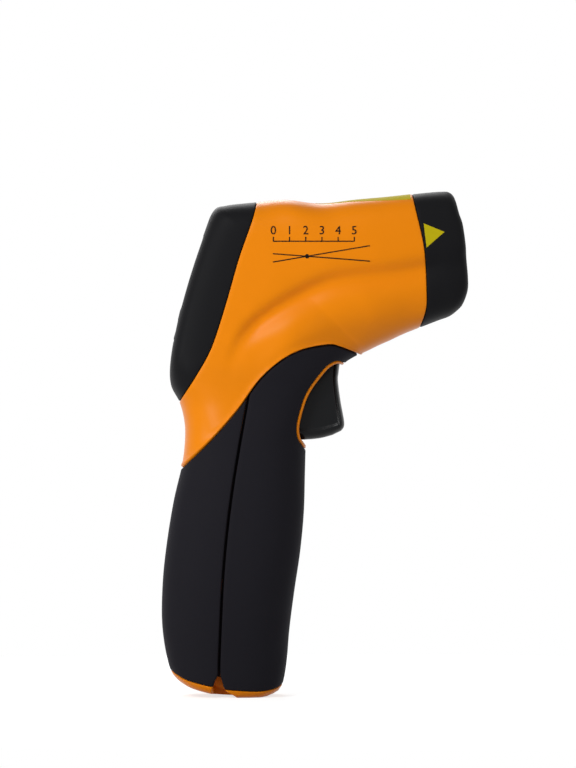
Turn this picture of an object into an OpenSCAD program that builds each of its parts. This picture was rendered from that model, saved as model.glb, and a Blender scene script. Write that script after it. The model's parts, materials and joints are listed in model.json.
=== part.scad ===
// Infrared thermometer of pistol form, in millimetres.
// +X is where the lens looks, +Y the user's left, +Z up, and the foot stands on Z = 0.

/* [Housing] */
// Width across the head
head_w = 48; // [45:0.5:52]
// Width across the nose
nose_w = 43; // [41:0.5:46]
// Width across the neck behind the trigger
neck_w = 40; // [38:0.5:43]
// Width across the handle
handle_w = 38; // [37:0.5:42]
// Wall of the hard mouldings
shell_wall = 2.2; // [1.8:0.1:2.6]
// Thickness of the soft grip over the handle
grip_t = 1.8; // [1.4:0.1:2.2]
// Depth of the swept groove along each side of the head
groove_depth = 1.9; // [0.8:0.1:2.4]
// Open gap round the battery door
door_gap = 0.9; // [0.6:0.1:1.1]
// Fine gap between mouldings that stay closed
parting_gap = 0.2; // [0.1:0.05:0.3]
// Height of the bare hard strip round the foot
foot_strip_h = 2.1; // [1.6:0.1:3]
// Width of the bare hard lip round the trigger opening
lip_w = 1.1; // [0.8:0.1:1.6]
// Length of the tongues that the nose and the bezel push into the shells
spigot_l = 4; // [3:0.5:5]
// Thickness of those tongues
spigot_t = 1.4; // [1:0.1:1.8]
// Thickness of inner ribs
rib_t = 1.6; // [1.2:0.1:2]

/* [Fits] */
// Clearance between pieces that are glued, pressed or screwed together
seat_fit = 0.05; // [0.02:0.01:0.1]
// Radial clearance of a pin that turns
turn_fit = 0.05; // [0.02:0.01:0.09]
// Clearance round pieces that slide
slide_fit = 0.3; // [0.2:0.05:0.5]

/* [Optics] */
// Diameter of the lens
lens_d = 22; // [19:0.5:23]
// Thickness of the lens at its rim
lens_edge_t = 1.6; // [1.2:0.1:2.2]
// Height of the lens dome over its rim
lens_dome_h = 1.4; // [0.8:0.1:1.8]
// Width of the ring that holds the lens
ring_w = 1.6; // [1.2:0.1:2]
// Thickness of that ring
ring_t = 2; // [1.5:0.1:2.5]
// Wall of the optics tube
tube_wall = 1.6; // [1.2:0.1:2]
// Length of the optics tube
tube_l = 43; // [38:0.5:45]
// Depth of the recess in front of the tube
recess_l = 5; // [4:0.5:6]
// How far the recess flares out at the nose face
flare_w = 1.5; // [0.5:0.1:2]
// Thickness of the nose behind its front face
nose_face_t = 8; // [7:0.5:10]
// Upward tilt of the line of sight, in degrees
sight_tilt = 8; // [6:0.5:9]
// Diameter of the sensor can
sensor_d = 8.2; // [7:0.1:9]
// Height of the sensor can
sensor_h = 4.4; // [3:0.1:6]
// Diameter of the laser module
laser_d = 6.5; // [5.5:0.1:7]
// Length of the laser module
laser_l = 16; // [12:0.5:20]
// Height of the laser beam over the line of sight
laser_rise = 17.5; // [17:0.25:18]

/* [Rear face] */
// Height of the display window
window_h = 26; // [22:0.5:27]
// Width of the display window
window_w = 32; // [26:0.5:33]
// Thickness of the display window
window_t = 1.5; // [1:0.1:1.8]
// Bare ledge under the edge of the window
window_ledge = 2; // [1.5:0.1:2.5]
// Thickness of the bezel behind the window
panel_t = 3.7; // [3.4:0.1:4]
// Thickness of the display panel
lcd_t = 2.6; // [2:0.1:2.8]
// Thickness of the backlight
backlight_t = 2; // [1.6:0.1:2.2]
// Distance from the bezel's inner face to the circuit board
board_depth = 5.6; // [5.4:0.1:6.5]
// Thickness of the circuit boards
board_t = 1.6; // [1:0.1:2]
// Width of the main circuit board
board_w = 35; // [33:0.5:36]
// Length of the main circuit board
board_l = 51; // [50:0.5:52]
// Width of one button
button_w = 8; // [6:0.5:8.5]
// Height of one button
button_h = 6.5; // [5:0.5:7]
// Distance between buttons
button_pitch = 11; // [10.5:0.1:11.5]
// How far a button stands out of the bezel
button_proud = 1; // [0.6:0.1:1.5]
// Travel of a button
button_travel = 0.8; // [0.4:0.1:1]

/* [Trigger] */
// Width of the trigger
trigger_w = 15; // [13:0.5:16]
// Radius of the trigger's rounded edges
trigger_r = 2.4; // [1.5:0.1:3]
// Diameter of the pivot pin
pin_d = 3; // [2.5:0.1:3.5]
// Side clearance of the trigger
trigger_clear = 0.5; // [0.3:0.1:0.8]
// Thickness of the two plates that carry the pin
carrier_t = 2.4; // [2:0.1:2.8]
// Wire of the return spring
spring_wire = 0.7; // [0.5:0.05:0.8]
// Turns of the return spring
spring_turns = 3; // [2:1:3]

/* [Battery] */
// Height of the battery body
battery_h = 46.4; // [45:0.1:48]
// Width of the battery, front to back
battery_w = 26.5; // [24:0.1:27]
// Thickness of the battery, side to side
battery_t = 17.5; // [16:0.1:18]
// Height of the battery terminals
terminal_h = 2.9; // [2.4:0.1:3.2]
// Diameter of the door's hinge pins
hinge_d = 3; // [2.6:0.1:3.2]
// Diameter of the battery leads
lead_d = 1.4; // [1:0.1:1.6]
// Diameter of the thin leads to the switch and the laser
thin_lead_d = 1; // [0.8:0.1:1.2]

/* [Screws] */
// Diameter of the screws that close the shells
screw_d = 2.6; // [2.2:0.1:3]
// Diameter of their heads
screw_head_d = 4.8; // [4.2:0.1:5.2]
// Length of their shanks
screw_l = 16; // [12:0.5:20]
// Outer diameter of the bosses round them
boss_d = 6.4; // [6:0.1:7]

/* [Hidden] */
$fn = 40;

orange = [0.94, 0.54, 0.02];
black = [0.11, 0.11, 0.12];
soft_black = [0.14, 0.14, 0.15];

// Length that reaches past the whole object
far = 150;
handle_half = handle_w / 2;
neck_half = neck_w / 2;
head_half = head_w / 2;
nose_half = nose_w / 2;

// Ribs of the housing, from the foot up the handle and on to the nose.
// Each runs across the side view from a low point X, Z to a high point X, Z, and then has
// its half width, the share of it kept at the low end, and the squareness of both ends.
RIBS = [
    [-10.8, -4, -48.5, 1.5, handle_half - 1.2, 1, 2.5, 2.5],
    [-9.6, 10, -51.2, 11, handle_half - 0.8, 1, 2.5, 2.5],
    [-8.9, 22, -53.3, 25, handle_half - 0.3, 1, 2.5, 2.5],
    [-7.1, 36.3, -53.1, 40, handle_half, 1, 2.5, 2.5],
    [-5, 50.5, -51.6, 54, handle_half, 1, 2.5, 2.5],
    [-3.7, 64.5, -49.2, 68.5, handle_half - 0.2, 1, 2.5, 2.5],
    [-3.3, 79, -46.3, 81, handle_half - 0.2, 1, 2.5, 2.6],
    [-2.9, 89, -45.3, 90, neck_half - 1, 1, 2.5, 2.8],
    [-1.5, 97, -45.6, 96.5, neck_half - 0.5, 1, 2.6, 3],
    [1, 103, -47.2, 102.7, neck_half, 0.98, 2.6, 3.4],
    [4, 108.5, -50.2, 109, neck_half + 1, 0.96, 2.7, 4.5],
    [7.5, 113, -50.1, 118, head_half - 1.2, 0.92, 2.8, 7],
    [10.5, 116.3, -47.5, 132, head_half - 0.3, 0.89, 2.8, 7],
    [13.1, 118.1, -43.7, 146, head_half, 0.86, 2.8, 7],
    [15.5, 119.3, -38.6, 161.2, head_half, 0.84, 2.9, 7],
    [17.2, 120, -35.2, 169.3, head_half, 0.83, 2.9, 6.5],
    [18.5, 120.6, -30.5, 171.2, head_half, 0.82, 3, 6],
    [20.5, 121.6, -20, 172.4, head_half, 0.81, 3, 5],
    [23, 122.8, -10, 173.2, head_half, 0.8, 3, 5],
    [26, 124.1, 2, 171.9, head_half - 0.3, 0.79, 3, 5],
    [30, 126, 14, 173.2, head_half - 0.7, 0.79, 3.1, 5],
    [34, 127.7, 25, 174.2, head_half - 1.3, 0.8, 3.2, 5],
    [38.5, 129.4, 34, 175.2, nose_half + 0.6, 0.82, 3.4, 4.8],
    [44, 131.5, 42, 176, nose_half, 0.85, 3.6, 4.6],
    [50, 133.5, 48.5, 176.3, nose_half - 0.8, 0.87, 3.6, 4.4],
    [57, 136, 55, 177, nose_half - 3.5, 0.88, 3.6, 4]
];

// Middle line of the swept groove, as X and Z, and its reach above and below the line
GROOVE = [[-24, 128.5], [-10, 137], [3, 143.4], [13, 145.7], [25, 147], [37, 148.8], [55, 151.8]];
groove_reach_up = 4;
groove_reach_down = 5.5;

// Side view lines, as X and Z
strip_line = [
    [-56, 10], [-50.2, 6.6], [-45.4, 4.1], [-39.7, 2.5], [-35.4, 1.6], [-31, 0.7],
    [-25.4, 0.2], [-20, -0.1], [-14.7, 0.5], [-11.5, 1.6], [-7, 4]
];
foot_line = [
    [-53, 13], [-49.9, 7.5], [-44.3, 3.7], [-38.7, 1.9], [-33, 0.8], [-27.5, 0],
    [-19, 0], [-15.6, 0.7], [-12.4, 2.3], [-10.7, 5.1], [-9.6, 9]
];
nose_line = [
    [42, 130.2], [48.2, 133], [51.5, 136.6], [53.3, 142], [53.2, 150], [52.6, 157],
    [51.2, 165], [49.4, 171.5], [47.4, 175], [44.5, 176.1]
];
bezel_line = [
    [-19.6, 176], [-21.5, 166.4], [-26.3, 152.4], [-30.3, 138.4], [-34.7, 124.4],
    [-37.8, 117.4], [-42, 110.4], [-46.4, 104.1], [-52, 97]
];
nose_cover_line = [
    [33.4, 178], [35, 169.9], [38, 156], [38.9, 141.9], [38.8, 134.9], [36.6, 128], [33, 120]
];
grip_line = [
    [-54, 73], [-46, 80.3], [-36.1, 89.4], [-26.8, 99.9], [-19.1, 110.4], [-11.2, 117.4],
    [-4.2, 120.9], [4.8, 122.6], [8.8, 121.9], [15.2, 119.5], [22, 116.8]
];
seam_line = [
    [-20, 120], [-23.1, 104.1], [-28.5, 72.6], [-31.5, 46], [-33, 16.6], [-33.2, 8]
];
opening_line = [
    [10, 115.9], [8.2, 116.4], [6, 115.6], [3.3, 113.2], [-1.8, 106.3], [-4.2, 100.3],
    [-5.6, 94], [-5.1, 90.1], [-4, 88.4]
];
// Where the shells and the door stand back from the hinge under the seam
shell_notch = [[-34.7, 5.1], [-35.5, 2.3], [-36, -4]];
door_notch = [[-31.9, 3.3], [-30.9, 1.7], [-28.2, -0.2], [-26, -4]];

// Trigger outline in the side view: its front, its underside and its inner back
trigger_front = [[8.4, 114.4], [8.2, 110], [9.1, 103], [10.4, 95.2], [9.3, 92.7]];
trigger_under = [[6.2, 91.2], [1.9, 90.1], [-3.5, 89.6], [-9.3, 89.7]];
trigger_back = [[-9.6, 96], [-6.6, 105], [-3.4, 112]];
pivot = [1.2, 117.2];
hub_r = 3.6;
// Arm behind the hub that presses the switch: reach, height over the pivot, width, thickness, tip
lever_l = 7;
lever_rise = 1.2;
lever_w = 4;
lever_t = 2.6;
lever_tip = 2.4;
// Return spring beside the hub: where it starts from the middle, and how low its leg goes
spring_side = 2.4;
spring_r = 2.9;
spring_clear = 0.2;
spring_pitch = spring_wire + 0.45;
spring_slot = spring_wire + 2 * slide_fit;
spring_leg_z = 106;

// Hinge of the battery door
hinge = [-31.5, 5.5];
hinge_lug_r = hinge_d / 2 + 1;
knuckle_half = 8.9;
knuckle_root = [4, 3.5];
lug_t = 3;
lug_gap = 0.3;
// Where the shell's lugs grow out of its foot, and the size of that root
lug_root_at = [-41, 6.6];
lug_root = [5, 2.2];
// Tongues at the top of the door: how far they go in under the shells, and where
tongue_rise = 2;
tongue_clear = 1.2;
tongue_at = [-11, 112];
tongue_size = [5, 14];

// Rear face: its middle, its lean from upright and the rows on it
face_at = [-44.6, 142];
face_lean = 16.5;
window_row = 6;
button_row = -15;
board_row = 0;
board_z = -panel_t - board_depth;
board_back = board_z - board_t;
board_hole_in = 2.5;
board_hole_rows = [board_row + board_l / 2 - board_hole_in, board_row - board_l / 2 + board_hole_in];
board_hole_side = 8;
board_core_d = 1.4;
board_boss_d = 4;
board_head_d = 3.4;
board_head_h = 1.2;
chip_h = 1.5;
buzzer_at = [12, -9.5];
buzzer_d = 14;
buzzer_h = 4.5;
buzzer_hole_d = 2;
window_sunk = 0.8;
window_r = 2;
lcd_margin = 0.8;
lcd_top = window_row + window_h / 2 + lcd_margin;
lcd_low = window_row - window_h / 2 - lcd_margin;
lcd_half = window_w / 2 + 1;
lcd_z = -panel_t - 2 * seat_fit;
// Contact strip under the display panel, on the stretch that the backlight leaves free
zebra_w = 2;
zebra_room = 3;
flange_t = 1;
flange_w = 1;
button_r = 1.5;
button_crown = 0.8;
mat_t = 1.5;
mat_rim = 1.5;

// Line of sight: the point where it leaves the nose face
sight_at = [53, 149.5];
tube_r = lens_d / 2 + seat_fit + tube_wall;
throat_r = lens_d / 2 - 1.2;
pocket_l = ring_t + lens_edge_t + 2 * seat_fit;
tube_end = -recess_l - tube_l;
end_wall = 2;
flange_r = sensor_d / 2 + 0.5;
sensor_flange_t = 0.8;
laser_front = -4.2;
laser_window_t = 1;
laser_window_r = laser_d / 2;
laser_port_r = 2.2;
bracket_x = -19;
bracket_t = 5;
bracket_ring = 1.4;
tube_rib_places = [-24, -40];
sensor_board_w = 17;
sensor_board_r = 1;
ribbon_w = 8;
ribbon_t = 0.4;

// Deck over the trigger: it carries the switch and the plates of the pin
deck_z = 127.2;
deck_t = 2;
deck_back = -14;
deck_front = 9;
carrier_in = trigger_w / 2 + trigger_clear;
carrier_out = carrier_in + carrier_t;
carrier_rim = 0.6;
carrier_foot = 10;
switch_size = [9.8, 6, deck_z - 120.5 - seat_fit];
// How far the switch reaches ahead of its plunger, and the depth of the plunger's bore
switch_ahead = 2.6;
switch_bore = 2.8;
plunger_r = 1;
plunger_l = 2;
plunger_gap = 0.1;

// Battery: the middle of its base, and its lean along the handle
battery_at = [-33.2, 17];
battery_lean = 5.5;
battery_edge_r = 2.5;
terminal_pitch = 12.7;
stud_r = 2.9;
socket_r = 4.2;
snap_t = 4.2;
snap_wall = 1;
snap_w = 2 * (socket_r + snap_wall);
cradle_rows = [8, 24, 38];
cradle_clear = 0.4;
// Battery leads: their places on the snap and the board, and their way up the neck
lead_side = 2.4;
lead_back = -0.8;
lead_drop = 3;
lead_clear = 0.4;
lead_row = -21;
neck_route = [[-31, 80], [-31.5, 92], [-31.5, 102], [-33, 111]];
// Leads of the switch and of the laser, and the ribbon: their ways and the rows where they end
switch_lead_row = -11;
switch_route = [[-20, 125], [-27, 127.5]];
laser_lead_side = 1.2;
laser_lead_row = 16;
laser_route = [[22, 165.6], [4, 167], [-14, 166]];
ribbon_row = -1;
ribbon_rise = -1;
ribbon_reach = 13;
ribbon_route = [[-20, 138.6]];

// Screw places, as X and Z
screw_places = [[-10, 162], [21, 127.8], [-39, 95], [-43.5, 12]];
screw_under_head = 6;
screw_head_h = 2;
screw_core_d = screw_d - 0.5;
// Small overlap where two solids of one piece run together
join = 0.1;

function lerp(a, b, t) = a + (b - a) * t;
function ease(t) = let (u = min(max(t, 0), 1)) u * u * (3 - 2 * u);

// Smooth curve through the rows of a list, at place s counted in rows
function spline(list, s) =
    let (last = len(list) - 1)
    let (i = min(floor(s), last - 1))
    let (f = s - i)
    let (before = list[max(i - 1, 0)])
    let (a = list[i])
    let (b = list[i + 1])
    let (after = list[min(i + 2, last)])
    let (cubic = (3 * a - before - 3 * b + after) / 2)
    let (square = (2 * before - 5 * a + 4 * b - after) / 2)
    a + f * ((b - before) / 2 + f * (square + f * cubic));
function curve(list, steps = 2) =
    [for (i = [0 : steps * (len(list) - 1)]) spline(list, i / steps)];

// How deep the groove is at a place X, Z of the side view
function groove(p) =
    let (rise = p[1] - lookup(p[0], GROOVE))
    let (reach = rise > 0 ? groove_reach_up : groove_reach_down)
    let (fade_in = ease((p[0] + 26) / 24))
    let (fade_out = lerp(1, 0.55, ease((p[0] - 36) / 10)))
    groove_depth * fade_in * fade_out * exp(-pow(rise / reach, 2));

// Point of the housing on a rib, at share t from its low to its high end
function rib_point(rib, t, inset) =
    let (low = [rib[0], rib[1]])
    let (run = [rib[2], rib[3]] - low)
    let (step_in = inset * run / norm(run))
    let (p = low + step_in + t * (run - 2 * step_in))
    let (power = t < 0.5 ? rib[6] : rib[7])
    let (half = rib[4] * lerp(rib[5], 1, ease(t / 0.6)) - inset)
    let (bow = pow(1 - pow(abs(2 * t - 1), power), 1 / power))
    [p[0], (half - groove(p)) * bow, p[1]];

// Shares along a rib: close together where its ends turn, then across its side
function rib_shares(rib, angles, mids) =
    let (low = [for (a = angles) (1 - pow(cos(a), 2 / rib[6])) / 2])
    let (high = [for (i = [len(angles) - 1 : -1 : 0]) (1 + pow(cos(angles[i]), 2 / rib[7])) / 2])
    concat(low, mids, high);

function ring(rib, angles, mids, inset) =
    let (left = [for (t = rib_shares(rib, angles, mids)) rib_point(rib, t, inset)])
    concat(left, [for (j = [len(left) - 2 : -1 : 1]) [left[j][0], -left[j][1], left[j][2]]]);

// Skin over rings of equal length, closed at both ends
module skin(rings) {
    n = len(rings[0]);
    last = len(rings) - 1;
    sides = [for (i = [0 : last - 1], j = [0 : n - 1])
        let (k = (j + 1) % n)
        each [
            [i * n + j, i * n + n + j, i * n + n + k],
            [i * n + j, i * n + n + k, i * n + k]
        ]
    ];
    low_end = [for (j = [0 : n - 1]) j];
    high_end = [for (j = [n - 1 : -1 : 0]) last * n + j];
    polyhedron([for (r = rings) each r], concat([low_end], sides, [high_end]));
}

// A freeform moulding is worked out as one mesh before true bores are cut into it
module moulding() {
    resize([0, 0, 0]) children();
}

module across(w = 2 * far) {
    rotate([90, 0, 0]) linear_extrude(w, center = true) children();
}

// The whole housing, drawn in by an inset all round
module body(inset) {
    intersection() {
        skin([for (rib = RIBS) ring(rib, [0, 10, 24, 44, 66], [0.34, 0.42, 0.5, 0.58, 0.68], inset)]);
        across() offset(delta = -inset) trim_zone();
    }
}

// The same with fewer faces, for room inside
module inner_body(inset) {
    intersection() {
        skin([for (rib = RIBS) ring(rib, [0, 20, 50], [0.35, 0.55], inset)]);
        across() offset(delta = -inset) trim_zone();
    }
}

// Side view zones
module trim_zone() {
    polygon(concat([[-far, 40]], curve(foot_line), [[30, 100]], curve(nose_line),
        [[40, far * 2], [-far, far * 2]]));
}

module bezel_zone() {
    polygon(concat(curve(bezel_line), [[-far, 97], [-far, 176]]));
}

module nose_zone() {
    polygon(concat(curve(nose_cover_line), [[far, 120], [far, 178]]));
}

module below_grip_line() {
    polygon(concat(curve(grip_line), [[22, -far], [-54, -far]]));
}

module behind_seam() {
    polygon(concat(curve(seam_line), shell_notch, [[-far, -4], [-far, 120]]));
}

module ahead_of_seam() {
    polygon(concat(curve(seam_line), door_notch, [[far, -4], [far, 120], [far, far], [-20, far]]));
}

module opening_zone() {
    polygon(concat(curve(opening_line), [[40, 88.4], [40, 115.9]]));
}

module foot_zone() {
    translate([0, foot_strip_h]) polygon(concat(curve(strip_line), [[-7, -far], [-56, -far]]));
}

module door_zone() {
    difference() {
        offset(delta = -door_gap / 2) intersection() {
            below_grip_line();
            ahead_of_seam();
        }
        opening_zone();
    }
}

// What lies under the surface that the part stands on: it cuts the foot level
module under_floor() {
    translate([-far, -far, -far]) cube([2 * far, 2 * far, far]);
}

// The part of the door that its soft grip covers, up to the bare foot strip and trigger lip
module door_skin_zone() {
    difference() {
        intersection() {
            below_grip_line();
            ahead_of_seam();
        }
        foot_zone();
        offset(delta = lip_w) opening_zone();
    }
}

// The orange shells, and the part of them that the rear grips cover
module shell_zone() {
    difference() {
        translate([-far, -far]) square(4 * far);
        offset(delta = parting_gap / 2) {
            bezel_zone();
            nose_zone();
        }
        difference() {
            offset(delta = parting_gap / 2) below_grip_line();
            offset(delta = -door_gap / 2) behind_seam();
        }
    }
}

module rear_skin_zone() {
    difference() {
        intersection() {
            below_grip_line();
            behind_seam();
        }
        foot_zone();
    }
}

// Step in a hard moulding that the soft grip fills
module grip_step() {
    difference() {
        across() children();
        body(grip_t + seat_fit);
    }
}

// Room inside the shells
module cavity() {
    inner = grip_t + seat_fit + shell_wall;
    inner_body(inner);
    intersection() {
        inner_body(shell_wall);
        across() difference() {
            translate([-far, -far]) square(4 * far);
            offset(delta = shell_wall) intersection() {
                below_grip_line();
                behind_seam();
            }
        }
    }
}

module half_space(side) {
    translate([-far, side > 0 ? parting_gap / 2 : -far - parting_gap / 2, -far])
        cube([2 * far, far, 3 * far]);
}

// Frames of reference
module on_face(row = 0, side = 0, z = 0) {
    translate([face_at[0], 0, face_at[1]]) rotate([0, face_lean - 90, 0])
        translate([row, side, z]) children();
}

// Along the line of sight: local +Z looks forward, local -X is up
module on_sight(x = 0, rise = 0) {
    translate([sight_at[0], 0, sight_at[1]]) rotate([0, 90 - sight_tilt, 0])
        translate([-rise, 0, x]) children();
}

module on_battery(z = 0) {
    translate([battery_at[0], 0, battery_at[1]]) rotate([0, battery_lean, 0])
        translate([0, 0, z]) children();
}

module along_y(place, y = 0) {
    translate([place[0], y, place[1]]) rotate([-90, 0, 0]) children();
}

// Rounded plate, h along X and w along Y
module plate(h, w, r) {
    square([h - 2 * r, w], center = true);
    square([h, w - 2 * r], center = true);
    for (a = [-1, 1], b = [-1, 1]) translate([a * (h / 2 - r), b * (w / 2 - r)]) circle(r);
}

// Round wire along a path that lies mostly in the side view
// Points in the side view: up the battery, along the line of sight, and on the rear face
function battery_point(up, ahead) =
    battery_at + up * [sin(battery_lean), cos(battery_lean)]
    + ahead * [cos(battery_lean), -sin(battery_lean)];
function sight_point(x, rise) =
    sight_at + x * [cos(sight_tilt), sin(sight_tilt)] + rise * [-sin(sight_tilt), cos(sight_tilt)];
function face_point(row, z) =
    face_at + row * [sin(face_lean), cos(face_lean)] + z * [-cos(face_lean), sin(face_lean)];
function at_side(points, y) = [for (p = points) [p[0], y, p[1]]];
// The last stretch of a lead, square on to the back of the main board
function to_board(row) = [face_point(row, board_back - lead_drop), face_point(row, board_back - lead_clear)];

function unit(v) = v / norm(v);
function wire_ring(path, i, d, sides) =
    let (last = len(path) - 1)
    let (t = unit(path[min(i + 1, last)] - path[max(i - 1, 0)]))
    let (a = unit([0, 1, 0] - t[1] * t))
    let (b = cross(t, a))
    [for (j = [0 : sides - 1]) path[i] + d / 2 * (cos(360 * j / sides) * a + sin(360 * j / sides) * b)];
module wire(path, d, sides = 6) {
    skin([for (i = [0 : len(path) - 1]) wire_ring(path, i, d, sides)]);
}

// Slab with rounded edges over a closed side view outline, drawn clockwise
function drawn_in(outline, d) =
    let (n = len(outline))
    [for (i = [0 : n - 1])
        let (t = unit(outline[(i + 1) % n] - outline[(i + n - 1) % n]))
        outline[i] + d * [t[1], -t[0]]];
module rounded_slab(outline, w, r) {
    turns = [0, 30, 60, 90];
    up = [for (a = turns) [w / 2 - r + r * cos(a), r * (1 - sin(a))]];
    levels = concat(up, [for (i = [len(up) - 1 : -1 : 0]) [-up[i][0], up[i][1]]]);
    skin([for (v = levels) [for (q = drawn_in(outline, v[1])) [q[0], -v[0], q[1]]]]);
}

// Inner ribs of the shells
module cradle_ribs() {
    for (z = cradle_rows) on_battery(z) translate([-far, -far, 0]) cube([far, 2 * far, rib_t]);
    on_battery(-seat_fit - rib_t) translate([-far, -far, 0]) cube([far, 2 * far, rib_t]);
}

module tube_ribs() {
    for (x = tube_rib_places) on_sight(x) translate([0, -far, 0]) cube([far, 2 * far, rib_t]);
}

module deck() {
    translate([deck_back, -far, deck_z]) cube([deck_front - deck_back, 2 * far, deck_t]);
}

module screw_bosses() {
    for (p = screw_places) along_y(p, -far) cylinder(d = boss_d, h = 2 * far, $fn = 24);
}

module shell_ribs() {
    difference() {
        intersection() {
            cradle_ribs();
            across() offset(delta = -door_gap / 2) behind_seam();
        }
        on_battery(battery_h / 2 - seat_fit)
            cube([battery_w + 2 * cradle_clear, battery_t + 2 * cradle_clear, battery_h], center = true);
    }
    difference() {
        tube_ribs();
        on_sight(tube_end - tube_r) cylinder(r = tube_r + cradle_clear, h = tube_l + 2 * tube_r);
    }
    deck();
    screw_bosses();
}

module pin_carriers() {
    for (side = [-1, 1]) translate([0, side * (carrier_in + carrier_out) / 2, 0])
        across(carrier_t) hull() {
            translate(pivot) circle(hub_r + carrier_rim, $fn = 24);
            translate([pivot[0] - carrier_foot / 2, deck_z + deck_t / 2]) square([carrier_foot, deck_t / 2]);
        }
}

module hinge_lugs() {
    mid = knuckle_half + lug_gap + lug_t / 2;
    for (side = [-1, 1]) translate([0, side * mid, 0]) across(lug_t) hull() {
        translate(hinge) circle(hinge_lug_r, $fn = 24);
        translate(lug_root_at) square(lug_root);
    }
}

module shell_half(side) {
    moulding() intersection() {
        union() {
            difference() {
                intersection() {
                    body(0);
                    across() shell_zone();
                }
                grip_step() rear_skin_zone();
                difference() {
                    cavity();
                    shell_ribs();
                }
            }
            pin_carriers();
            hinge_lugs();
        }
        half_space(side);
    }
}

module shell_bores() {
    along_y(pivot, -carrier_out - 1) cylinder(d = pin_d + 2 * seat_fit, h = 2 * carrier_out + 2);
    along_y(hinge, -far / 2) cylinder(d = hinge_d + 2 * turn_fit, h = far);
}

module right_shell() {
    color(orange) difference() {
        shell_half(-1);
        shell_bores();
        for (p = screw_places) along_y(p, screw_under_head - screw_l - 1)
            cylinder(d = screw_core_d + 2 * seat_fit, h = screw_l + 1);
    }
}

module left_shell() {
    color(orange) difference() {
        shell_half(1);
        shell_bores();
        for (p = screw_places) {
            along_y(p, -1) cylinder(d = screw_d + 2 * slide_fit, h = far);
            along_y(p, screw_under_head) cylinder(d = screw_head_d + 2 * slide_fit, h = far);
        }
    }
}

module rear_grip(side) {
    moulding() intersection() {
        difference() {
            body(0);
            body(grip_t);
        }
        across() intersection() {
            offset(delta = -parting_gap) rear_skin_zone();
            offset(delta = -door_gap / 2) behind_seam();
        }
        half_space(side);
    }
}

module right_grip() {
    color(soft_black) rear_grip(-1);
}

module left_grip() {
    color(soft_black) difference() {
        rear_grip(1);
        along_y(screw_places[3], 0) cylinder(d = screw_head_d + 4 * slide_fit, h = far);
    }
}

// A cover over one end of the shells, with a tongue that goes into them
module end_cover() {
    inner = shell_wall + slide_fit;
    difference() {
        union() {
            intersection() {
                body(0);
                across() offset(delta = -parting_gap / 2) children();
            }
            intersection() {
                inner_body(inner);
                across() offset(delta = spigot_l) children();
            }
        }
        inner_body(inner + spigot_t);
    }
}

module nose_cover() {
    color(black) difference() {
        moulding() {
            end_cover() nose_zone();
            intersection() {
                body(shell_wall / 2);
                across() difference() {
                    nose_zone();
                    offset(delta = -nose_face_t) trim_zone();
                }
            }
        }
        on_sight(-3 * nose_face_t) cylinder(r = tube_r + seat_fit, h = 3 * nose_face_t - recess_l);
        on_sight(-2 * recess_l) cylinder(r = lens_d / 2, h = 4 * recess_l);
        on_sight(-recess_l / 2) cylinder(r1 = lens_d / 2, r2 = lens_d / 2 + 2 * flare_w, h = recess_l);
        on_sight(laser_front - 3 * nose_face_t, laser_rise)
            cylinder(r = laser_window_r + seat_fit, h = 3 * nose_face_t + laser_window_t + 2 * seat_fit);
        on_sight(-nose_face_t, laser_rise) cylinder(r = laser_port_r, h = 2 * nose_face_t);
    }
}

module rear_bezel() {
    color(black) difference() {
        union() {
            moulding() end_cover() bezel_zone();
            for (row = board_hole_rows, side = [-1, 1]) on_face(row, side * board_hole_side, board_z)
                cylinder(d = board_boss_d, h = board_depth + 1);
        }
        on_face(0, 0, -far / 2 - panel_t) difference() {
            cube([board_l, board_w + 2, far], center = true);
            for (row = board_hole_rows, side = [-1, 1]) translate([row, side * board_hole_side, 0])
                cylinder(d = board_boss_d, h = far, center = true);
        }
        on_face(window_row, 0, -window_sunk - window_t - seat_fit) linear_extrude(far)
            plate(window_h + 2 * seat_fit, window_w + 2 * seat_fit, window_r);
        on_face(window_row, 0, -2 * panel_t) linear_extrude(far)
            plate(window_h - 2 * window_ledge, window_w - 2 * window_ledge, window_r);
        for (i = [-1 : 1]) on_face(button_row, i * button_pitch, -2 * panel_t) linear_extrude(far)
            plate(button_h + 2 * slide_fit, button_w + 2 * slide_fit, button_r);
        for (row = board_hole_rows, side = [-1, 1]) on_face(row, side * board_hole_side, board_z - 1)
            cylinder(d = board_core_d + 2 * seat_fit, h = board_depth);
    }
}

module display_window() {
    color([0.3, 0.35, 0.35]) on_face(window_row, 0, -window_sunk - window_t) linear_extrude(window_t)
        plate(window_h, window_w, window_r);
}

module lcd_panel() {
    color([0.6, 0.66, 0.6]) on_face((lcd_top + lcd_low) / 2, 0, lcd_z - lcd_t) linear_extrude(lcd_t)
        square([lcd_top - lcd_low, 2 * lcd_half], center = true);
}

module lcd_backlight() {
    color("white") on_face((lcd_top + lcd_low + zebra_room) / 2, 0, lcd_z - lcd_t - seat_fit - backlight_t)
        linear_extrude(backlight_t) square([lcd_top - lcd_low - zebra_room, 2 * lcd_half], center = true);
}

module zebra_strip() {
    high = lcd_z - lcd_t - seat_fit;
    color([0.5, 0.5, 0.55]) on_face(lcd_low + zebra_room / 2, 0, board_z + seat_fit)
        linear_extrude(high - board_z - seat_fit) square([zebra_w, 2 * (lcd_half - zebra_w)], center = true);
}

module main_board() {
    color([0.1, 0.35, 0.15]) difference() {
        on_face(board_row, 0, board_back) linear_extrude(board_t) plate(board_l, board_w, 3);
        for (row = board_hole_rows, side = [-1, 1]) on_face(row, side * board_hole_side, board_back - 1)
            cylinder(d = board_core_d + 2 * slide_fit, h = board_t + 2);
    }
}

module board_chips() {
    places = [[4, 10, 9, 9], [-8, -10, 6, 8], [-8, 9, 5, 6]];
    color([0.07, 0.07, 0.08]) for (c = places) on_face(c[0], c[1], board_back - seat_fit - chip_h)
        linear_extrude(chip_h) square([c[2], c[3]], center = true);
}

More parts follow.
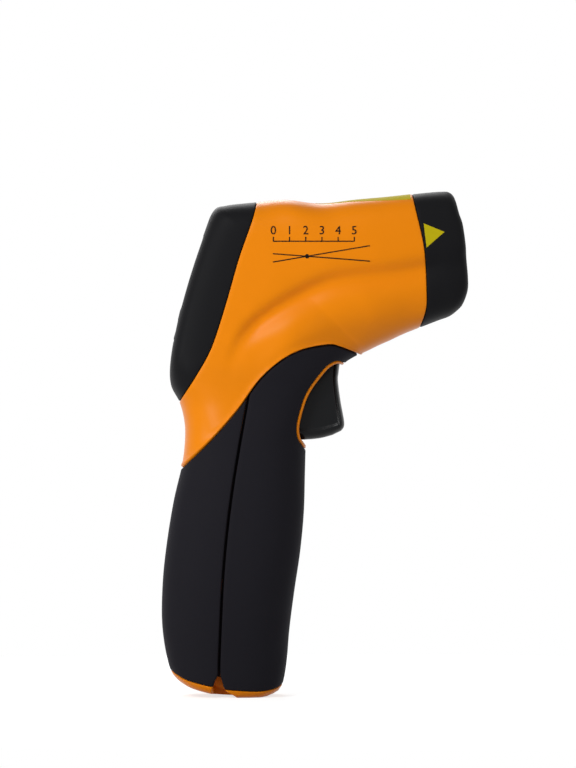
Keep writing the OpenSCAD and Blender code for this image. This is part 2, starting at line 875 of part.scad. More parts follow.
module board_screws() {
    color("silver") for (row = board_hole_rows, side = [-1, 1]) on_face(row, side * board_hole_side, 0) {
        translate([0, 0, board_back - seat_fit - board_head_h]) cylinder(d = board_head_d, h = board_head_h);
        translate([0, 0, board_back - seat_fit - join])
            cylinder(d = board_core_d, h = board_t + board_depth - 2);
    }
}

module buzzer() {
    color([0.15, 0.15, 0.15]) on_face(buzzer_at[0], buzzer_at[1], board_back - seat_fit - buzzer_h)
        difference() {
            cylinder(d = buzzer_d, h = buzzer_h);
            translate([0, 0, -1]) cylinder(d = buzzer_hole_d, h = 1 + buzzer_h / 2);
        }
}

module keypad_mat() {
    color([0.3, 0.3, 0.32]) on_face(button_row, 0, board_z + seat_fit) linear_extrude(mat_t) difference() {
        plate(button_h + 2 * mat_rim, board_w - mat_rim, button_r);
        for (i = [-1 : 1]) translate([0, i * button_pitch])
            plate(button_h + 2 * slide_fit, button_w + 2 * slide_fit, button_r);
    }
}

module button(place) {
    foot = board_z + button_travel + slide_fit;
    shoulder = button_proud - button_crown;
    color([0.2, 0.2, 0.21]) on_face(button_row, place * button_pitch, 0) {
        translate([0, 0, foot]) linear_extrude(shoulder - foot + join / 2)
            plate(button_h, button_w, button_r);
        translate([0, 0, -panel_t - seat_fit - flange_t]) linear_extrude(flange_t)
            plate(button_h + 2 * flange_w, button_w + 2 * flange_w, button_r + flange_w / 2);
        hull() {
            translate([0, 0, shoulder]) linear_extrude(join) plate(button_h, button_w, button_r, $fn = 24);
            translate([0, 0, button_proud - join]) linear_extrude(join)
                plate(button_h - 2 * button_crown, button_w - 2 * button_crown, button_r / 2, $fn = 24);
        }
    }
}

module button_left() {
    button(1);
}

module button_middle() {
    button(0);
}

module button_right() {
    button(-1);
}

function hub_arc() = [for (a = [200 : -20 : -20]) pivot + hub_r * [cos(a), sin(a)]];

module trigger() {
    outline = concat(curve(trigger_front), trigger_under, trigger_back, hub_arc());
    lever_top = pivot[1] + lever_rise;
    color(black) difference() {
        union() {
            moulding() rounded_slab(outline, trigger_w, trigger_r);
            translate([pivot[0] - lever_l - lever_tip, -lever_w / 2, lever_top - lever_t])
                cube([lever_l + lever_tip, lever_w, lever_t]);
        }
        along_y(pivot, -far / 2) cylinder(d = pin_d + 2 * turn_fit, h = far);
        along_y(pivot, spring_side) cylinder(r = hub_r + 1, h = far);
        translate([pivot[0] - spring_r + spring_wire - far, spring_side, spring_leg_z - 1])
            cube([far, spring_slot, pivot[1] - spring_leg_z]);
    }
}

module trigger_pin() {
    color("silver") along_y(pivot, -carrier_out) cylinder(d = pin_d, h = 2 * carrier_out);
}

module trigger_spring() {
    inner_y = spring_side + spring_clear + spring_wire / 2;
    outer_y = inner_y + spring_turns * spring_pitch;
    back = pivot[0] - spring_r;
    steps = 12;
    coil = [for (i = [0 : steps * spring_turns])
        let (a = 180 + 360 * i / steps)
        [pivot[0] + spring_r * cos(a), outer_y - spring_pitch * i / steps, pivot[1] + spring_r * sin(a)]];
    path = concat([[back, outer_y, deck_z - seat_fit], [back, outer_y, pivot[1] + spring_r]], coil,
        [[back, inner_y, pivot[1] - spring_r], [back, inner_y, spring_leg_z]]);
    color("silver") wire(path, spring_wire);
}

module trigger_switch() {
    x = pivot[0] - lever_l;
    low = deck_z - seat_fit - switch_size[2];
    color([0.12, 0.12, 0.13]) difference() {
        translate([x + switch_ahead - switch_size[0], -switch_size[1] / 2, low]) cube(switch_size);
        translate([x, 0, low - 1]) cylinder(r = plunger_r + turn_fit, h = 1 + switch_bore);
    }
}

module switch_plunger() {
    color([0.7, 0.2, 0.15]) translate([pivot[0] - lever_l, 0, pivot[1] + lever_rise + plunger_gap]) {
        translate([0, 0, plunger_r]) cylinder(r = plunger_r, h = plunger_l);
        translate([0, 0, plunger_r]) sphere(plunger_r);
    }
}

module switch_leads() {
    back = pivot[0] - lever_l + switch_ahead - switch_size[0] - seat_fit;
    middle = deck_z - seat_fit - switch_size[2] / 2;
    route = concat([[back, middle]], switch_route, to_board(switch_lead_row));
    color([0.2, 0.3, 0.7]) for (side = [-1, 1])
        wire(curve(at_side(route, side * switch_size[1] / 4)), thin_lead_d);
}

// Room that the trigger takes as the door swings past it
module trigger_slot() {
    across(trigger_w + 4 * trigger_clear) polygon([
        [9.4, 88.4], [9.4, 116.2], [-12, 124.5], [-24, 124.5], [-24, 88.4]
    ]);
    plate_r = hub_r + carrier_rim + trigger_clear;
    across(2 * (carrier_out + trigger_clear)) hull() {
        translate(pivot) circle(plate_r, $fn = 24);
        translate(pivot + [carrier_rim, plate_r]) circle(plate_r, $fn = 24);
        translate(pivot - [4 * plate_r, 0]) circle(2 * plate_r, $fn = 24);
    }
}

module door_skin(outer, inner) {
    intersection() {
        difference() {
            body(outer);
            body(inner);
        }
        across() children();
    }
}

// Tongues that hold the top of the door behind the edge of the shells
module door_tongues() {
    inner = shell_wall + tongue_clear;
    door_skin(inner, inner + spigot_t) intersection() {
        offset(delta = tongue_rise) below_grip_line();
        translate(tongue_at) square(tongue_size);
    }
}

module door_frame() {
    inner = grip_t + seat_fit + shell_wall;
    lug_mid = knuckle_half + lug_gap + lug_t / 2;
    pin_l = 2 * (knuckle_half + lug_gap + lug_t);
    color(orange) difference() {
        union() {
            moulding() difference() {
                union() {
                    difference() {
                        intersection() {
                            difference() {
                                body(0);
                                inner_body(inner);
                            }
                            across() door_zone();
                        }
                        grip_step() door_skin_zone();
                    }
                    door_tongues();
                    along_y(hinge, -knuckle_half) cylinder(r = hinge_lug_r, h = 2 * knuckle_half, $fn = 24);
                    translate([hinge[0], -knuckle_half, hinge[1] - knuckle_root[1]])
                        cube([knuckle_root[0], 2 * knuckle_half, knuckle_root[1]]);
                }
                trigger_slot();
                for (side = [-1, 1]) along_y(hinge, side * lug_mid - lug_t / 2 - lug_gap)
                    cylinder(r = hinge_lug_r + lug_gap, h = lug_t + 2 * lug_gap, $fn = 24);
            }
            along_y(hinge, -pin_l / 2) cylinder(d = hinge_d, h = pin_l);
        }
        under_floor();
    }
}

module door_grip() {
    color(soft_black) moulding() difference() {
        door_skin(0, grip_t) intersection() {
            door_zone();
            offset(delta = -parting_gap) door_skin_zone();
        }
        trigger_slot();
    }
}

module battery_pad() {
    inner = grip_t + 2 * seat_fit + shell_wall;
    color([0.25, 0.25, 0.27]) moulding() intersection() {
        inner_body(inner);
        on_battery(20) translate([battery_w / 2 + slide_fit, -5, 0]) cube([far, 10, 16]);
    }
}

module battery() {
    color([0.3, 0.32, 0.36]) on_battery() {
        linear_extrude(battery_h) plate(battery_w, battery_t, battery_edge_r);
        translate([-terminal_pitch / 2, 0, battery_h - join]) cylinder(r = stud_r, h = terminal_h + join);
        translate([terminal_pitch / 2, 0, battery_h - join]) cylinder(r = socket_r, h = terminal_h + join);
    }
}

module battery_snap() {
    color([0.08, 0.08, 0.08]) on_battery(battery_h + seat_fit) difference() {
        linear_extrude(snap_t) plate(terminal_pitch + snap_w, snap_w, snap_w / 4);
        translate([-terminal_pitch / 2, 0, -1]) cylinder(r = stud_r + seat_fit, h = terminal_h + 1);
        translate([terminal_pitch / 2, 0, -1]) cylinder(r = socket_r + seat_fit, h = terminal_h + 1);
    }
}

// Way of a battery lead from the snap to the foot of the main board
function lead_path(y) =
    let (top = battery_h + snap_t + 2 * seat_fit)
    at_side(concat([battery_point(top, lead_back), battery_point(top + lead_drop, lead_back)],
        neck_route, to_board(lead_row)), y);

module lead_red() {
    color([0.7, 0.08, 0.06]) wire(lead_path(lead_side), lead_d);
}

module lead_black() {
    color([0.05, 0.05, 0.05]) wire(lead_path(-lead_side), lead_d);
}

module lens() {
    rim = lens_d / 2 - ring_w - seat_fit;
    dome_r = (rim * rim + lens_dome_h * lens_dome_h) / (2 * lens_dome_h);
    color([0.5, 0.5, 0.55]) on_sight(-recess_l - pocket_l) {
        cylinder(d = lens_d, h = lens_edge_t);
        intersection() {
            translate([0, 0, lens_edge_t + lens_dome_h - dome_r]) sphere(dome_r, $fn = 96);
            cylinder(r = rim, h = far);
        }
    }
}

module lens_ring() {
    color(black) on_sight(-recess_l - ring_t) difference() {
        cylinder(d = lens_d, h = ring_t);
        translate([0, 0, -1]) cylinder(r = lens_d / 2 - ring_w, h = ring_t + 2);
    }
}

module optics_tube() {
    color([0.16, 0.16, 0.17]) difference() {
        on_sight(tube_end) cylinder(r = tube_r, h = tube_l);
        on_sight(-recess_l - pocket_l - seat_fit) cylinder(r = lens_d / 2 + seat_fit, h = far);
        on_sight(tube_end + end_wall) cylinder(r = throat_r, h = tube_l);
        on_sight(tube_end - 1) cylinder(d = sensor_d + 2 * seat_fit, h = far / 3);
        on_sight(tube_end - 1) cylinder(r = flange_r + seat_fit, h = 1 + sensor_flange_t + seat_fit);
    }
}

module thermal_sensor() {
    color("gold") on_sight(tube_end) difference() {
        union() {
            cylinder(r = flange_r, h = sensor_flange_t);
            cylinder(d = sensor_d, h = sensor_h);
        }
        translate([0, 0, sensor_h - 0.4]) cylinder(d = sensor_d / 2, h = 1);
    }
}

module sensor_board() {
    color([0.1, 0.35, 0.15]) on_sight(tube_end - seat_fit - board_t) linear_extrude(board_t)
        plate(sensor_board_w, sensor_board_w, sensor_board_r);
}

module sensor_ribbon() {
    back = tube_end - board_t - 2 * seat_fit;
    top = curve(concat([sight_point(back, ribbon_rise), sight_point(back - ribbon_reach, -ribbon_rise)],
        ribbon_route, to_board(ribbon_row)), 4);
    low = [for (i = [len(top) - 1 : -1 : 0]) top[i] - [0, ribbon_t]];
    color([0.8, 0.5, 0.2]) across(ribbon_w) polygon(concat(top, low));
}

module laser_module() {
    color([0.75, 0.6, 0.3]) on_sight(laser_front - laser_l, laser_rise) difference() {
        cylinder(d = laser_d, h = laser_l);
        translate([0, 0, laser_l - 1]) cylinder(d = laser_d / 2, h = 2);
    }
}

module laser_bracket() {
    laser_ring = laser_d / 2 + bracket_ring;
    color([0.2, 0.2, 0.21]) on_sight(bracket_x) linear_extrude(bracket_t) difference() {
        union() {
            intersection() {
                circle(tube_r + bracket_ring);
                translate([-far, -far]) square([far + 3, 2 * far]);
            }
            translate([-laser_rise, 0]) circle(laser_ring);
            translate([-laser_rise, -laser_ring]) square([laser_rise, 2 * laser_ring]);
        }
        circle(tube_r + seat_fit);
        translate([-laser_rise, 0]) circle(laser_d / 2 + seat_fit);
    }
}

module laser_window() {
    color([0.6, 0.2, 0.2]) on_sight(laser_front + seat_fit, laser_rise)
        cylinder(r = laser_window_r, h = laser_window_t);
}

module laser_leads() {
    route = concat([sight_point(laser_front - laser_l - lead_clear, laser_rise)], laser_route,
        to_board(laser_lead_row));
    color([0.7, 0.1, 0.1]) for (side = [-1, 1])
        wire(curve(at_side(route, side * laser_lead_side)), thin_lead_d);
}

module shell_screws() {
    color("silver") for (p = screw_places) along_y(p, screw_under_head + seat_fit) {
        cylinder(d = screw_head_d, h = screw_head_h);
        translate([0, 0, join - screw_l]) cylinder(d = screw_core_d, h = screw_l);
    }
}

right_shell();
left_shell();
right_grip();
left_grip();
nose_cover();
rear_bezel();
display_window();
lcd_panel();
lcd_backlight();
zebra_strip();
main_board();
board_chips();
board_screws();
buzzer();
keypad_mat();
button_left();
button_middle();
button_right();
trigger();
trigger_pin();
trigger_spring();
trigger_switch();
switch_plunger();
switch_leads();
door_frame();
door_grip();
battery_pad();
battery();
battery_snap();
lead_red();
lead_black();
lens();
lens_ring();
optics_tube();
thermal_sensor();
sensor_board();
sensor_ribbon();
laser_module();
laser_bracket();
laser_window();
laser_leads();
shell_screws();
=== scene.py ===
"""Looks of the pistol infrared thermometer: finer skins, finishes, print, light and camera."""
import json
import math

import bpy
import numpy as np
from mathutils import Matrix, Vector
from mathutils.geometry import delaunay_2d_cdt
from mathutils.kdtree import KDTree


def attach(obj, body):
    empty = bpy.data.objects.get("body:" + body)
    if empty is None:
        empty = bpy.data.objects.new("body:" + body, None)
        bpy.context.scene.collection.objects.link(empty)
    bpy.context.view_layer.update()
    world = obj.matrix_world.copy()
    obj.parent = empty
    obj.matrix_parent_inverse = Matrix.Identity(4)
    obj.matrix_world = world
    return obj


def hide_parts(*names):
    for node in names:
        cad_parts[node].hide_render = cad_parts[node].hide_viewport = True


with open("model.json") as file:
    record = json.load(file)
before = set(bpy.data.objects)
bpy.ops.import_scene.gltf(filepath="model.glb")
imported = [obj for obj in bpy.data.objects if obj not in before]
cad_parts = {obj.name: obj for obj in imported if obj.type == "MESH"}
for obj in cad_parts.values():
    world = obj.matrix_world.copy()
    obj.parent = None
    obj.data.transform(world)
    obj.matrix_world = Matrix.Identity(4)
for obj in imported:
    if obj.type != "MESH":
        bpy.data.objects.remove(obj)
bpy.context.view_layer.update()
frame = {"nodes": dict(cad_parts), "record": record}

# Every length below is in millimetres, as in the construction; meshes are scaled by this on the way out
MM = 0.001

# Half widths of the handle, neck, head and nose
HANDLE, NECK, HEAD, NOSE = 19.0, 20.0, 24.0, 21.5
# Ribs of the housing: low X, low Z, high X, high Z, half width, low taper, low power, high power
RIBS = np.array([
    [-10.8, -4, -48.5, 1.5, HANDLE - 1.2, 1, 2.5, 2.5],
    [-9.6, 10, -51.2, 11, HANDLE - 0.8, 1, 2.5, 2.5],
    [-8.9, 22, -53.3, 25, HANDLE - 0.3, 1, 2.5, 2.5],
    [-7.1, 36.3, -53.1, 40, HANDLE, 1, 2.5, 2.5],
    [-5, 50.5, -51.6, 54, HANDLE, 1, 2.5, 2.5],
    [-3.7, 64.5, -49.2, 68.5, HANDLE - 0.2, 1, 2.5, 2.5],
    [-3.3, 79, -46.3, 81, HANDLE - 0.2, 1, 2.5, 2.6],
    [-2.9, 89, -45.3, 90, NECK - 1, 1, 2.5, 2.8],
    [-1.5, 97, -45.6, 96.5, NECK - 0.5, 1, 2.6, 3],
    [1, 103, -47.2, 102.7, NECK, 0.98, 2.6, 3.4],
    [4, 108.5, -50.2, 109, NECK + 1, 0.96, 2.7, 4.5],
    [7.5, 113, -50.1, 118, HEAD - 1.2, 0.92, 2.8, 7],
    [10.5, 116.3, -47.5, 132, HEAD - 0.3, 0.89, 2.8, 7],
    [13.1, 118.1, -43.7, 146, HEAD, 0.86, 2.8, 7],
    [15.5, 119.3, -38.6, 161.2, HEAD, 0.84, 2.9, 7],
    [17.2, 120, -35.2, 169.3, HEAD, 0.83, 2.9, 6.5],
    [18.5, 120.6, -30.5, 171.2, HEAD, 0.82, 3, 6],
    [20.5, 121.6, -20, 172.4, HEAD, 0.81, 3, 5],
    [23, 122.8, -10, 173.2, HEAD, 0.8, 3, 5],
    [26, 124.1, 2, 171.9, HEAD - 0.3, 0.79, 3, 5],
    [30, 126, 14, 173.2, HEAD - 0.7, 0.79, 3.1, 5],
    [34, 127.7, 25, 174.2, HEAD - 1.3, 0.8, 3.2, 5],
    [38.5, 129.4, 34, 175.2, NOSE + 0.6, 0.82, 3.4, 4.8],
    [44, 131.5, 42, 176, NOSE, 0.85, 3.6, 4.6],
    [50, 133.5, 48.5, 176.3, NOSE - 0.8, 0.87, 3.6, 4.4],
    [57, 136, 55, 177, NOSE - 3.5, 0.88, 3.6, 4],
])
LAST_RIB = len(RIBS) - 1
# Share of a rib over which its width grows from the low taper to full
TAPER_SHARE = 0.6
# Groove along the head: its line in the side view, its depth and its reach above and below the line
GROOVE_LINE = [[-31, 116], [-25.5, 125], [-18, 131.6], [-8, 138], [3, 143.4], [13, 145.7], [25, 147],
               [37, 148.8], [55, 151.8]]
GROOVE_DEPTH = 2.3
GROOVE_REACH = (3.2, 5.5)
# Swell under the groove: how far below the line, how far out, and its reach above and below
SWELL_DROP, SWELL, SWELL_REACH = 14.0, 1.7, (8.0, 6.0)
# Where along X they come in and fade out, as a start and a length, and the share that the groove loses
GROOVE_IN, GROOVE_OUT, GROOVE_LOSS = (-32.0, 13.0), (36.0, 10.0), 0.45
SWELL_IN, SWELL_OUT = (-22.0, 16.0), (18.0, 22.0)

# Lines of the side view, as X and Z
FOOT_STRIP_H = 2.1
STRIP_LINE = [[-56, 10], [-50.2, 6.6], [-45.4, 4.1], [-39.7, 2.5], [-35.4, 1.6], [-31, 0.7], [-25.4, 0.2],
              [-20, -0.1], [-14.7, 0.5], [-11.5, 1.6], [-7, 4]]
FOOT_LINE = [[-53, 13], [-49.9, 7.5], [-44.3, 3.7], [-38.7, 1.9], [-33, 0.8], [-27.5, 0], [-19, 0],
             [-15.6, 0.7], [-12.4, 2.3], [-10.7, 5.1], [-9.6, 9]]
TIP_LINE = [[46.6, 128], [49.5, 133.8], [51.6, 136.8], [53.2, 141.5], [53.3, 146], [52.7, 153],
            [52.4, 157.6], [51.4, 164.4], [50.2, 168], [49.3, 171.5], [48.6, 174.2], [47.6, 178.5]]
BEZEL_LINE = [[-19.6, 176], [-21.5, 166.4], [-26.3, 152.4], [-30.3, 138.4], [-34.7, 124.4], [-37.8, 117.4],
              [-42, 110.4], [-46.4, 104.1], [-52, 97]]
NOSE_LINE = [[33.4, 178], [35, 169.9], [38, 156], [38.9, 141.9], [38.8, 134.9], [36.6, 128], [33, 120]]
GRIP_LINE = [[-54, 73], [-46, 80.3], [-36.1, 89.4], [-26.8, 99.9], [-19.1, 110.4], [-11.2, 117.4],
             [-4.2, 120.9], [4.8, 122.6], [8.8, 121.9], [15.2, 119.5], [22, 116.8]]
SEAM_LINE = [[-20, 120], [-23.1, 104.1], [-28.5, 72.6], [-31.5, 46], [-33, 16.6], [-33.2, 8]]
SHELL_NOTCH = [[-34.7, 5.1], [-35.5, 2.3], [-36, -4]]
DOOR_NOTCH = [[-31.9, 3.3], [-30.9, 1.7], [-28.2, -0.2], [-26, -4]]
OPENING_LINE = [[10, 115.9], [8.2, 116.4], [6, 115.6], [3.3, 113.2], [-1.8, 106.3], [-4.2, 100.3],
                [-5.6, 94], [-5.1, 90.1], [-4, 88.4]]
TRIGGER_FRONT = [[8.8, 116.2], [8.4, 113], [8.2, 110], [9.1, 103], [10.4, 95.2], [9.3, 92.7]]
TRIGGER_UNDER = [[6.2, 91.2], [1.9, 90.1], [-3.5, 89.6], [-9.3, 89.7]]
TRIGGER_BACK = [[-9.6, 96], [-6.6, 105], [-3.4, 112]]
PIVOT = (1.2, 117.2)
HUB_R = 3.6
TRIGGER_W = 15.0
# Gaps between the mouldings, the two sides of the opening's lip, and the radii of edges
PARTING, GRIP_GAP, DOOR_GAP = 0.1, 0.2, 0.45
LIP_IN, LIP_OUT = -0.4, 0.4
FINE_R, EDGE_R, SEAM_R = 0.3, 0.4, 0.5
FOOT_ROUND, TIP_ROUND = 3.0, 2.6
# Share of the tip's radius by which the skin runs on over the end face
TIP_OVER = 0.57

# Rear face: its middle, its lean from upright, and the window and the buttons on it
FACE_AT = np.array([-44.6, 142.0])
FACE_LEAN = math.radians(16.5)
FACE_UP = np.array([math.sin(FACE_LEAN), math.cos(FACE_LEAN)])
FACE_OUT = np.array([-math.cos(FACE_LEAN), math.sin(FACE_LEAN)])
WINDOW_ROW, WINDOW_H, WINDOW_W, WINDOW_R = 6.0, 26.0, 32.0, 2.0
BUTTON_ROW, BUTTON_PITCH, BUTTON_W, BUTTON_H, BUTTON_R = -15.0, 11.0, 8.0, 6.5, 1.5
SLIDE_FIT = 0.3

# Line of sight: where it leaves the nose, its tilt, the lens recess and the laser's port above it
SIGHT_AT = np.array([53.0, 149.5])
SIGHT_TILT = math.radians(8)
SIGHT_AHEAD = np.array([math.cos(SIGHT_TILT), math.sin(SIGHT_TILT)])
SIGHT_UP = np.array([-math.sin(SIGHT_TILT), math.cos(SIGHT_TILT)])
LENS_D, RECESS_L = 22.0, 5.0
LASER_RISE, LASER_PORT_R = 17.5, 2.2

# Holes for the heads of the shell screws, on the left side only
SCREW_PLACES = np.array([[-10, 162], [21, 127.8], [-39, 95], [-43.5, 12]])
SCREW_HOLE_R, SCREW_ROUND = 2.7, 0.4


def spline(rows, s):
    """Catmull-Rom curve through the rows at s, with the end rows doubled."""
    rows = np.asarray(rows, float)
    s = np.asarray(s, float)
    i = np.clip(np.floor(s).astype(int), 0, len(rows) - 2)
    f = (s - i)[:, None]
    before, a = rows[np.maximum(i - 1, 0)], rows[i]
    b, after = rows[i + 1], rows[np.minimum(i + 2, len(rows) - 1)]
    square = (2 * before - 5 * a + 4 * b - after) / 2
    cubic = (3 * a - before - 3 * b + after) / 2
    return a + f * ((b - before) / 2 + f * (square + f * cubic))


def curve(points, steps=10):
    """The smooth line through points."""
    return spline(points, np.linspace(0, len(points) - 1, (len(points) - 1) * steps + 1))


def way_along(points):
    """Length of the way from the first point of a line to each of its points."""
    return np.concatenate([[0], np.cumsum(np.linalg.norm(np.diff(points, axis=0), axis=1))])


def ease(t):
    """Rises smoothly from 0 to 1."""
    u = np.clip(t, 0, 1)
    return u * u * (3 - 2 * u)


def ramp(x, run):
    """Rises smoothly from 0 to 1 over a run, which is a start and a length."""
    return ease((x - run[0]) / run[1])


GROOVE = curve(GROOVE_LINE)


def groove(x, z):
    """How far the groove takes the side in, less how far the swell under it brings it out."""
    rise = z - np.interp(x, GROOVE[:, 0], GROOVE[:, 1])
    fade = ramp(x, GROOVE_IN) * (1 - GROOVE_LOSS * ramp(x, GROOVE_OUT))
    out_fade = ramp(x, SWELL_IN) * (1 - ramp(x, SWELL_OUT))
    dip = np.exp(-(rise / np.where(rise > 0, *GROOVE_REACH)) ** 2)
    under = rise + SWELL_DROP
    swell = np.exp(-(under / np.where(under > 0, *SWELL_REACH)) ** 2)
    return GROOVE_DEPTH * fade * dip - SWELL * out_fade * swell


def section(s, angle):
    """Points of the housing's right-hand skin (Y taken positive) at rib place s and angle round the rib."""
    r = spline(RIBS, s)
    front = angle < math.pi / 2
    power = np.where(front, r[:, 6], r[:, 7])
    u = np.abs(np.cos(angle)) ** (2 / power)
    t = np.where(front, (1 - u) / 2, (1 + u) / 2)
    x = r[:, 0] + t * (r[:, 2] - r[:, 0])
    z = r[:, 1] + t * (r[:, 3] - r[:, 1])
    half = r[:, 4] * (r[:, 5] + (1 - r[:, 5]) * ease(t / TAPER_SHARE))
    y = (half - groove(x, z)) * np.sin(angle) ** (2 / power)
    return np.stack([x, y, z], 1)


# Tables of the way round each rib: the angle at each share of the way, and the way's length
TABLE_S = np.linspace(0, LAST_RIB, 501)
# Angles lie closer at both ends and about the widest line, where a rib turns fastest
ABOUT_WIDEST = 0.06 * np.linspace(0.02, 0.99, 40) ** 2.5
TABLE_ANGLE = np.sort(np.concatenate([
    math.pi / 2 * (1 - np.cos(np.linspace(0, math.pi, 321))),
    math.pi / 2 + np.outer((-1, 1), ABOUT_WIDEST).ravel(),
]))
TABLE_SHARE = np.linspace(0, 1, 601)


def measure_ribs():
    """Share of the way round at each angle, the angle at each share, and the length of the way."""
    s = np.repeat(TABLE_S, len(TABLE_ANGLE))
    p = section(s, np.tile(TABLE_ANGLE, len(TABLE_S))).reshape(len(TABLE_S), len(TABLE_ANGLE), 3)
    steps = np.linalg.norm(np.diff(p, axis=1), axis=2)
    way = np.concatenate([np.zeros((len(TABLE_S), 1)), np.cumsum(steps, 1)], 1)
    length = way[:, -1]
    share = way / length[:, None]
    angle = np.stack([np.interp(TABLE_SHARE, row, TABLE_ANGLE) for row in share])
    return share, angle, length


SHARE_AT, ANGLE_AT, WAY_L = measure_ribs()


def look_up(table, columns, s, c):
    """Bilinear value of a table at rib place s and column value c."""
    i = np.clip(s / LAST_RIB * (len(TABLE_S) - 1), 0, len(TABLE_S) - 1.000001)
    j = np.clip(np.interp(c, columns, np.arange(len(columns))), 0, len(columns) - 1.000001)
    i0, j0 = i.astype(int), j.astype(int)
    fi, fj = i - i0, j - j0
    top = table[i0, j0] * (1 - fj) + table[i0, j0 + 1] * fj
    low = table[i0 + 1, j0] * (1 - fj) + table[i0 + 1, j0 + 1] * fj
    return top * (1 - fi) + low * fi


def skin(s, share):
    """Points of the skin at rib place s and share of the way round."""
    return section(s, look_up(ANGLE_AT, TABLE_SHARE, s, share))


# Steps to either side from which a normal is measured
NORMAL_S, NORMAL_SHARE = 0.04, 0.005


def skin_normals(s, share):
    """Outward normals of the skin."""
    s0, s1 = np.clip(s - NORMAL_S, 0, LAST_RIB), np.clip(s + NORMAL_S, 0, LAST_RIB)
    c0, c1 = np.clip(share - NORMAL_SHARE, 0, 1), np.clip(share + NORMAL_SHARE, 0, 1)
    n = np.cross(skin(s, c1) - skin(s, c0), skin(s1, share) - skin(s0, share))
    edge = (share < 1e-6) | (share > 1 - 1e-6)
    n[edge, 1] = 0
    n /= np.maximum(np.linalg.norm(n, axis=1), 1e-9)[:, None]
    middle = section(np.asarray(s), np.full(len(s), math.pi / 2)) * [1, 0, 1]
    out = np.sum(n * (skin(s, share) - middle), 1)
    return n * np.where(out < 0, -1, 1)[:, None]


def on_skin(places, proud, mirror=1.0):
    """Points set off the skin along its normals at rib places and shares, and those normals."""
    out = skin_normals(*places.T) * mirror
    return skin(*places.T) * mirror + out * proud, out


RAY_S = np.linspace(0, LAST_RIB, 2501)
RAY = spline(RIBS, RAY_S)
RAY_LOW, RAY_RUN = RAY[:, 0:2], RAY[:, 2:4] - RAY[:, 0:2]
# Share of a rib by which a point may lie beyond its ends
RAY_SPARE = 0.12


def locate(points):
    """Rib place and share along the rib of points of the side view; nan where no rib passes."""
    found = np.full((len(points), 2), np.nan)
    for k, p in enumerate(points):
        to = p - RAY_LOW
        side = to[:, 0] * RAY_RUN[:, 1] - to[:, 1] * RAY_RUN[:, 0]
        for i in np.nonzero(side[:-1] * side[1:] <= 0)[0]:
            f = side[i] / (side[i] - side[i + 1] + 1e-12)
            low = RAY_LOW[i] + f * (RAY_LOW[i + 1] - RAY_LOW[i])
            run = RAY_RUN[i] + f * (RAY_RUN[i + 1] - RAY_RUN[i])
            t = np.dot(p - low, run) / np.dot(run, run)
            if -RAY_SPARE < t < 1 + RAY_SPARE:
                found[k] = (RAY_S[i] + f * (RAY_S[1] - RAY_S[0]), t)
                break
    return found


def share_of(s, t):
    """Share of the way round from the share along the rib."""
    r = spline(RIBS, s)
    power = np.where(t < 0.5, r[:, 6], r[:, 7])
    turn = np.arccos(np.clip(np.abs(2 * t - 1), 0, 1) ** (power / 2))
    return look_up(SHARE_AT, TABLE_ANGLE, s, np.where(t < 0.5, turn, math.pi - turn))


# Step between the points of a run along an edge
RUN_STEP = 0.8


def resample(places):
    """The same way over the skin with points an even step apart; places are rib place and share."""
    p = skin(places[:, 0], places[:, 1])
    way = way_along(p)
    count = max(int(way[-1] / RUN_STEP), 1)
    at = np.linspace(0, way[-1], count + 1)
    return np.stack([np.interp(at, way, places[:, 0]), np.interp(at, way, places[:, 1])], 1)


# Tracing of a line: its step, the gap that breaks it, and how points close in on the skin's edge
TRACE_STEP, TRACE_BREAK, CLOSING_IN = 0.35, 1.5, 0.6 ** np.arange(1, 22)


def trace(line, keep=None):
    """The stretches of a line of the side view that lie on the housing, as rib places and shares."""
    line = np.asarray(line, float)
    way = way_along(line)
    at = np.arange(0, way[-1], TRACE_STEP)
    points = np.stack([np.interp(at, way, line[:, 0]), np.interp(at, way, line[:, 1])], 1)
    if keep is not None:
        points = points[keep(points)]
    found = locate(points)
    s, t = found[:, 0], found[:, 1]
    inside = (t > 0) & (t < 1)
    gaps = np.linalg.norm(np.diff(points, axis=0), axis=1) > TRACE_BREAK
    runs, run = [], []

    def leave(i, j):
        """Points between the inside sample i and the skin's edge on the way to sample j."""
        edge = 0.0 if t[j] < t[i] else 1.0
        f = (edge - t[i]) / (t[j] - t[i])
        ts = np.append(edge + (t[i] - edge) * CLOSING_IN, edge)
        ss = s[i] + (s[j] - s[i]) * f * (ts - t[i]) / (edge - t[i])
        return list(zip(ss, ts))

    for k in range(len(points)):
        broken = k > 0 and gaps[k - 1]
        if broken and run:
            runs.append(run)
            run = []
        if inside[k]:
            if not run and k > 0 and not broken and not math.isnan(t[k - 1]):
                run = leave(k, k - 1)[::-1]
            run.append((s[k], t[k]))
        elif run:
            if not math.isnan(t[k]):
                run += leave(k - 1, k)
            runs.append(run)
            run = []
    if run:
        runs.append(run)
    out = []
    for run in runs:
        run = np.array(run)
        if len(run) > 2:
            places = np.stack([run[:, 0], share_of(run[:, 0], run[:, 1])], 1)
            places[run[:, 1] <= 0, 1] = 0
            places[run[:, 1] >= 1, 1] = 1
            out.append(resample(places))
    return out


# Reach of a line past its ends, points measured at a time, and how near a point is on the line
LINE_REACH, CHUNK, ON_LINE = 40, 4000, 0.05


